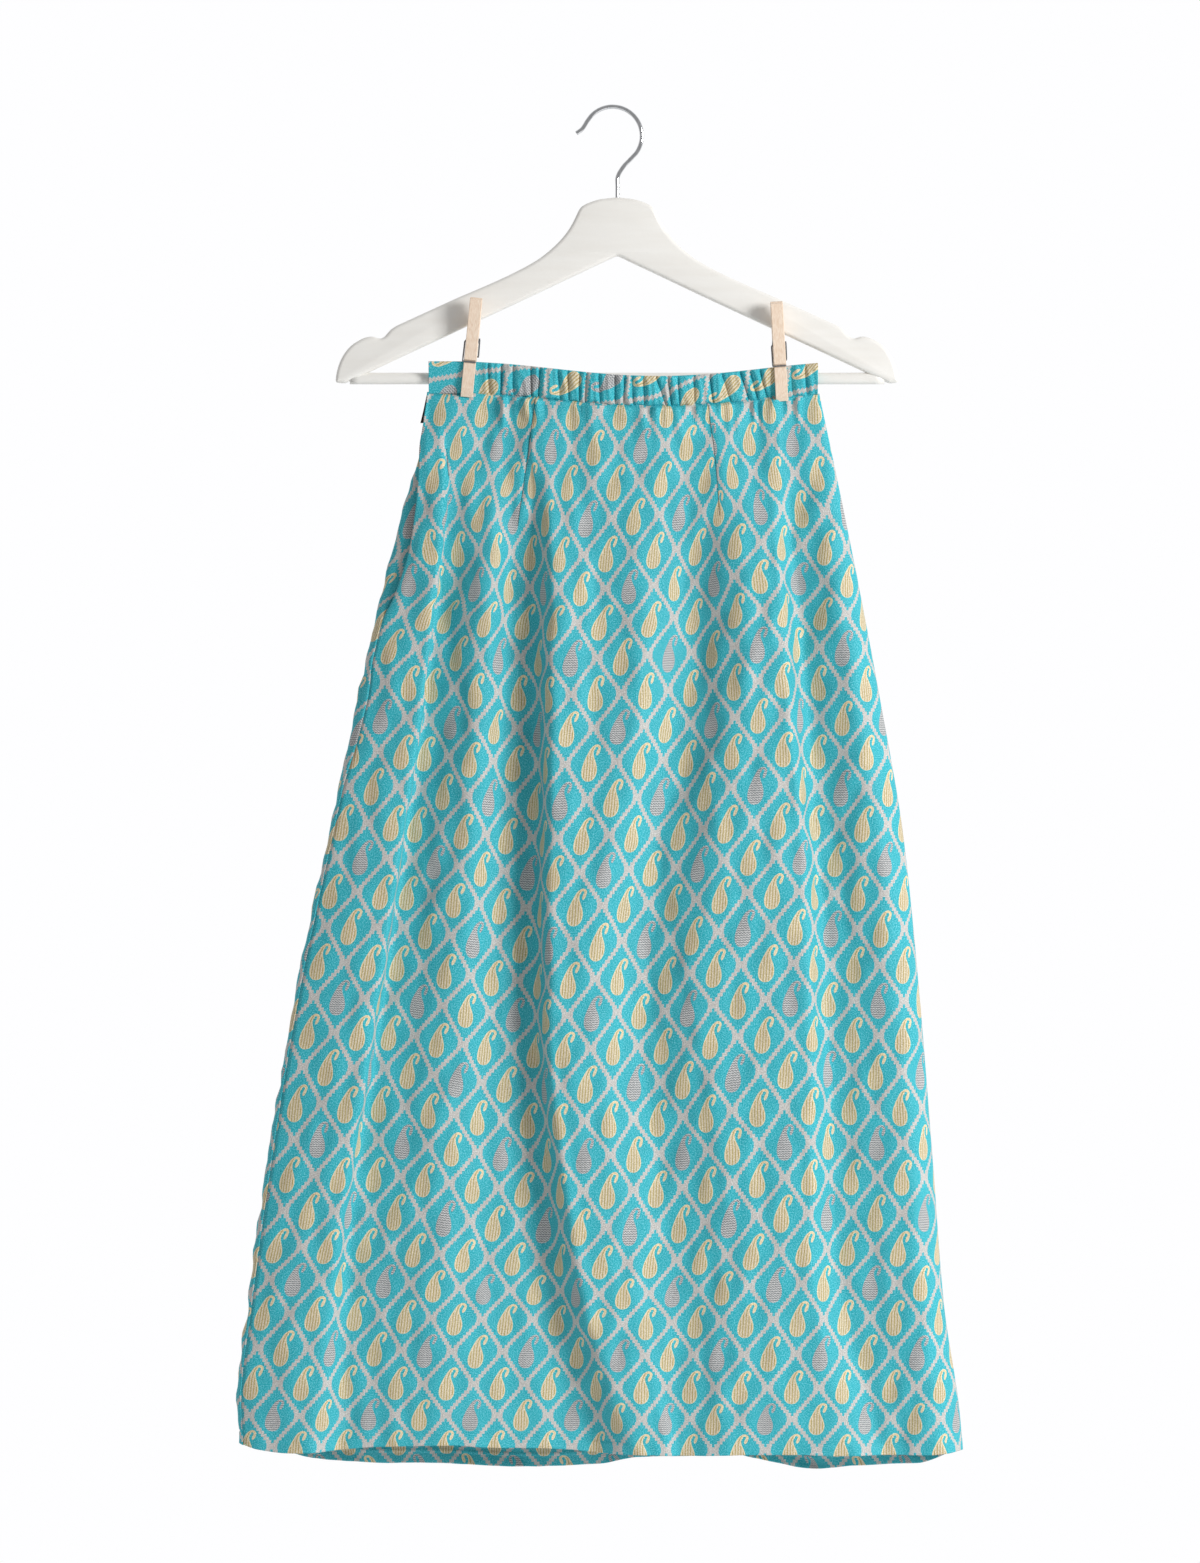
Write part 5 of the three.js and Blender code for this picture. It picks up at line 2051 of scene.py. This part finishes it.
@dataclass
class Studio:
    """A plain pale floor that fades out, soft light from the right, and the camera.

    The surroundings are white behind the skirt and dimmer before it, as in a room with one
    white wall.
    """

    floor_z: float = -1.45
    floor_radius: float = 2.3
    eye: Triple = (-0.0097, -5.0, -0.5202)
    lens: float = 148.9
    wall_light: float = 1.0
    room_light: float = 0.35
    key_power: float = 94.0
    rings: int = 24
    sides: int = 96

    # matt white paper: even and bright, with no gloss
    PAPER = Grain((260.0, 260.0, 260.0), 2.0, "#F2F2F3", "#F8F8F8", 0.9, 1.0, 0.01)
    # share of its radius from which the floor thins out
    FADES = 0.5
    # in metres: where the key light is, its side, and what it faces
    KEY_AT, KEY_SIZE, AIM = (2.5, -2.1, 0.3), 1.1, (0.0, 0.0, -0.55)
    # y of a direction towards the room and towards the wall, between which the light changes
    TURNS = (-0.5, 0.7)
    SKY = "#FEFEFF"
    # the camera's sensor in mm, and its nearest and furthest view in metres
    SENSOR, NEAR, FAR = 36.0, 0.05, 100.0

    def paper(self) -> Material:
        """Makes the floor's finish: matt white paper whose edge thins out to nothing.

        Returns:
            The material.
        """
        material, tree, shader = new_material("white paper")
        self.PAPER.apply(tree, shader)
        where = add_node(tree, "ShaderNodeTexCoord", {})
        links = {0: where.outputs["Object"], 1: (0, 0, self.floor_z)}
        reach = add_node(tree, "ShaderNodeVectorMath", links, operation="DISTANCE")
        starts = self.FADES * self.floor_radius
        links = {0: reach.outputs["Value"], 1: starts, 2: self.floor_radius}
        links |= {3: 1.0, 4: 0.0}
        fade = add_node(tree, "ShaderNodeMapRange", links, interpolation_type="SMOOTHSTEP")
        tree.links.new(fade.outputs[0], shader.inputs["Alpha"])
        return material

    def build_floor(self) -> None:
        """Makes the floor, a disc: rings of points at even steps round a middle point."""
        radius = np.linspace(0, self.floor_radius, self.rings + 1)[1:, None] / MM
        angle = np.linspace(0, 2 * np.pi, self.sides, endpoint=False)[None, :]
        flat = [radius * np.cos(angle), radius * np.sin(angle), 0 * radius * angle]
        middle = np.zeros((1, 3))
        points = np.concatenate([middle, np.stack(flat, -1).reshape(-1, 3)])
        points += [0, 0, self.floor_z / MM]
        first = np.arange(self.sides)
        hub = np.stack([0 * first, first + 1, (first + 1) % self.sides + 1], 1)
        faces = 1 + grid_faces(self.rings, self.sides, Edges.TUBE)[:, ::-1]
        floor = make_piece("floor", points, hub.tolist() + faces.tolist())
        floor.data.materials.append(self.paper())

    def add_light(self, name: str, at: Sequence[float], size: float, power: float) -> None:
        """Adds a square soft light that faces the skirt's middle.

        Args:
            name: The light's name.
            at: Where it is, in metres.
            size: Its side.
            power: Its power in watts.
        """
        data = bpy.data.lights.new(name, "AREA")
        data.shape, data.size, data.energy = "SQUARE", size, power
        lamp = bpy.data.objects.new(name, data)
        away = Vector(at) - Vector(self.AIM)
        lamp.location = at
        lamp.rotation_euler = away.to_track_quat("Z", "Y").to_euler()
        bpy.context.scene.collection.objects.link(lamp)

    def build_surroundings(self) -> None:
        """Makes the white wall's and the room's light: a smooth change from front to back."""
        world = bpy.data.worlds.new("studio")
        world.use_nodes = True
        tree = world.node_tree
        where = add_node(tree, "ShaderNodeTexCoord", {})
        parts = add_node(tree, "ShaderNodeSeparateXYZ", {0: where.outputs["Generated"]})
        links = {0: parts.outputs["Y"], 1: self.TURNS[0], 2: self.TURNS[1]}
        links |= {3: self.room_light, 4: self.wall_light}
        level = add_node(tree, "ShaderNodeMapRange", links, interpolation_type="SMOOTHSTEP")
        sky = tree.nodes["Background"]
        sky.inputs["Color"].default_value = linear(self.SKY)
        tree.links.new(level.outputs[0], sky.inputs["Strength"])
        bpy.context.scene.world = world

    def build(self) -> None:
        """Makes the floor, the light and the camera."""
        scene = bpy.context.scene
        self.build_floor()
        self.build_surroundings()
        self.add_light("key", self.KEY_AT, self.KEY_SIZE, self.key_power)
        lens = bpy.data.cameras.new("camera")
        lens.lens, lens.sensor_width = self.lens, self.SENSOR
        lens.clip_start, lens.clip_end = self.NEAR, self.FAR
        camera = bpy.data.objects.new("camera", lens)
        camera.location = self.eye
        camera.rotation_euler = (math.pi / 2, 0, 0)
        scene.collection.objects.link(camera)
        scene.camera = camera
        scene.view_settings.view_transform = "Standard"


# ------------------------------------------------------------------ the whole object


def main() -> None:
    """Builds the skirt, the hanger, the clothespins and the studio."""
    logging.basicConfig(level=logging.INFO, format="%(message)s")
    form = SkirtForm()
    cloth = PatternedCloth("jacquard crepe, panels", DART_LABELS).make()
    band_cloth = PatternedCloth("jacquard crepe, band").make()
    beech, steel = BEECH.make(), SPRING_WIRE.make()
    paint = WHITE_PAINT.make()
    front = SkirtPanel(Side.FRONT, form, cloth).build()
    back = SkirtPanel(Side.BACK, form, cloth).build()
    band_front = Waistband(Side.FRONT, form, band_cloth).build()
    band_back = Waistband(Side.BACK, form, band_cloth).build()
    tab = LabelTab(form, BLACK_TAPE.make()).build()
    Hanger(paint, CHROME.make()).build()
    pins = []
    for place in PIN_PLACES:
        pins += Clothespin(place, beech, steel).build()
    Studio().build()


if __name__ == "__main__":
    main()
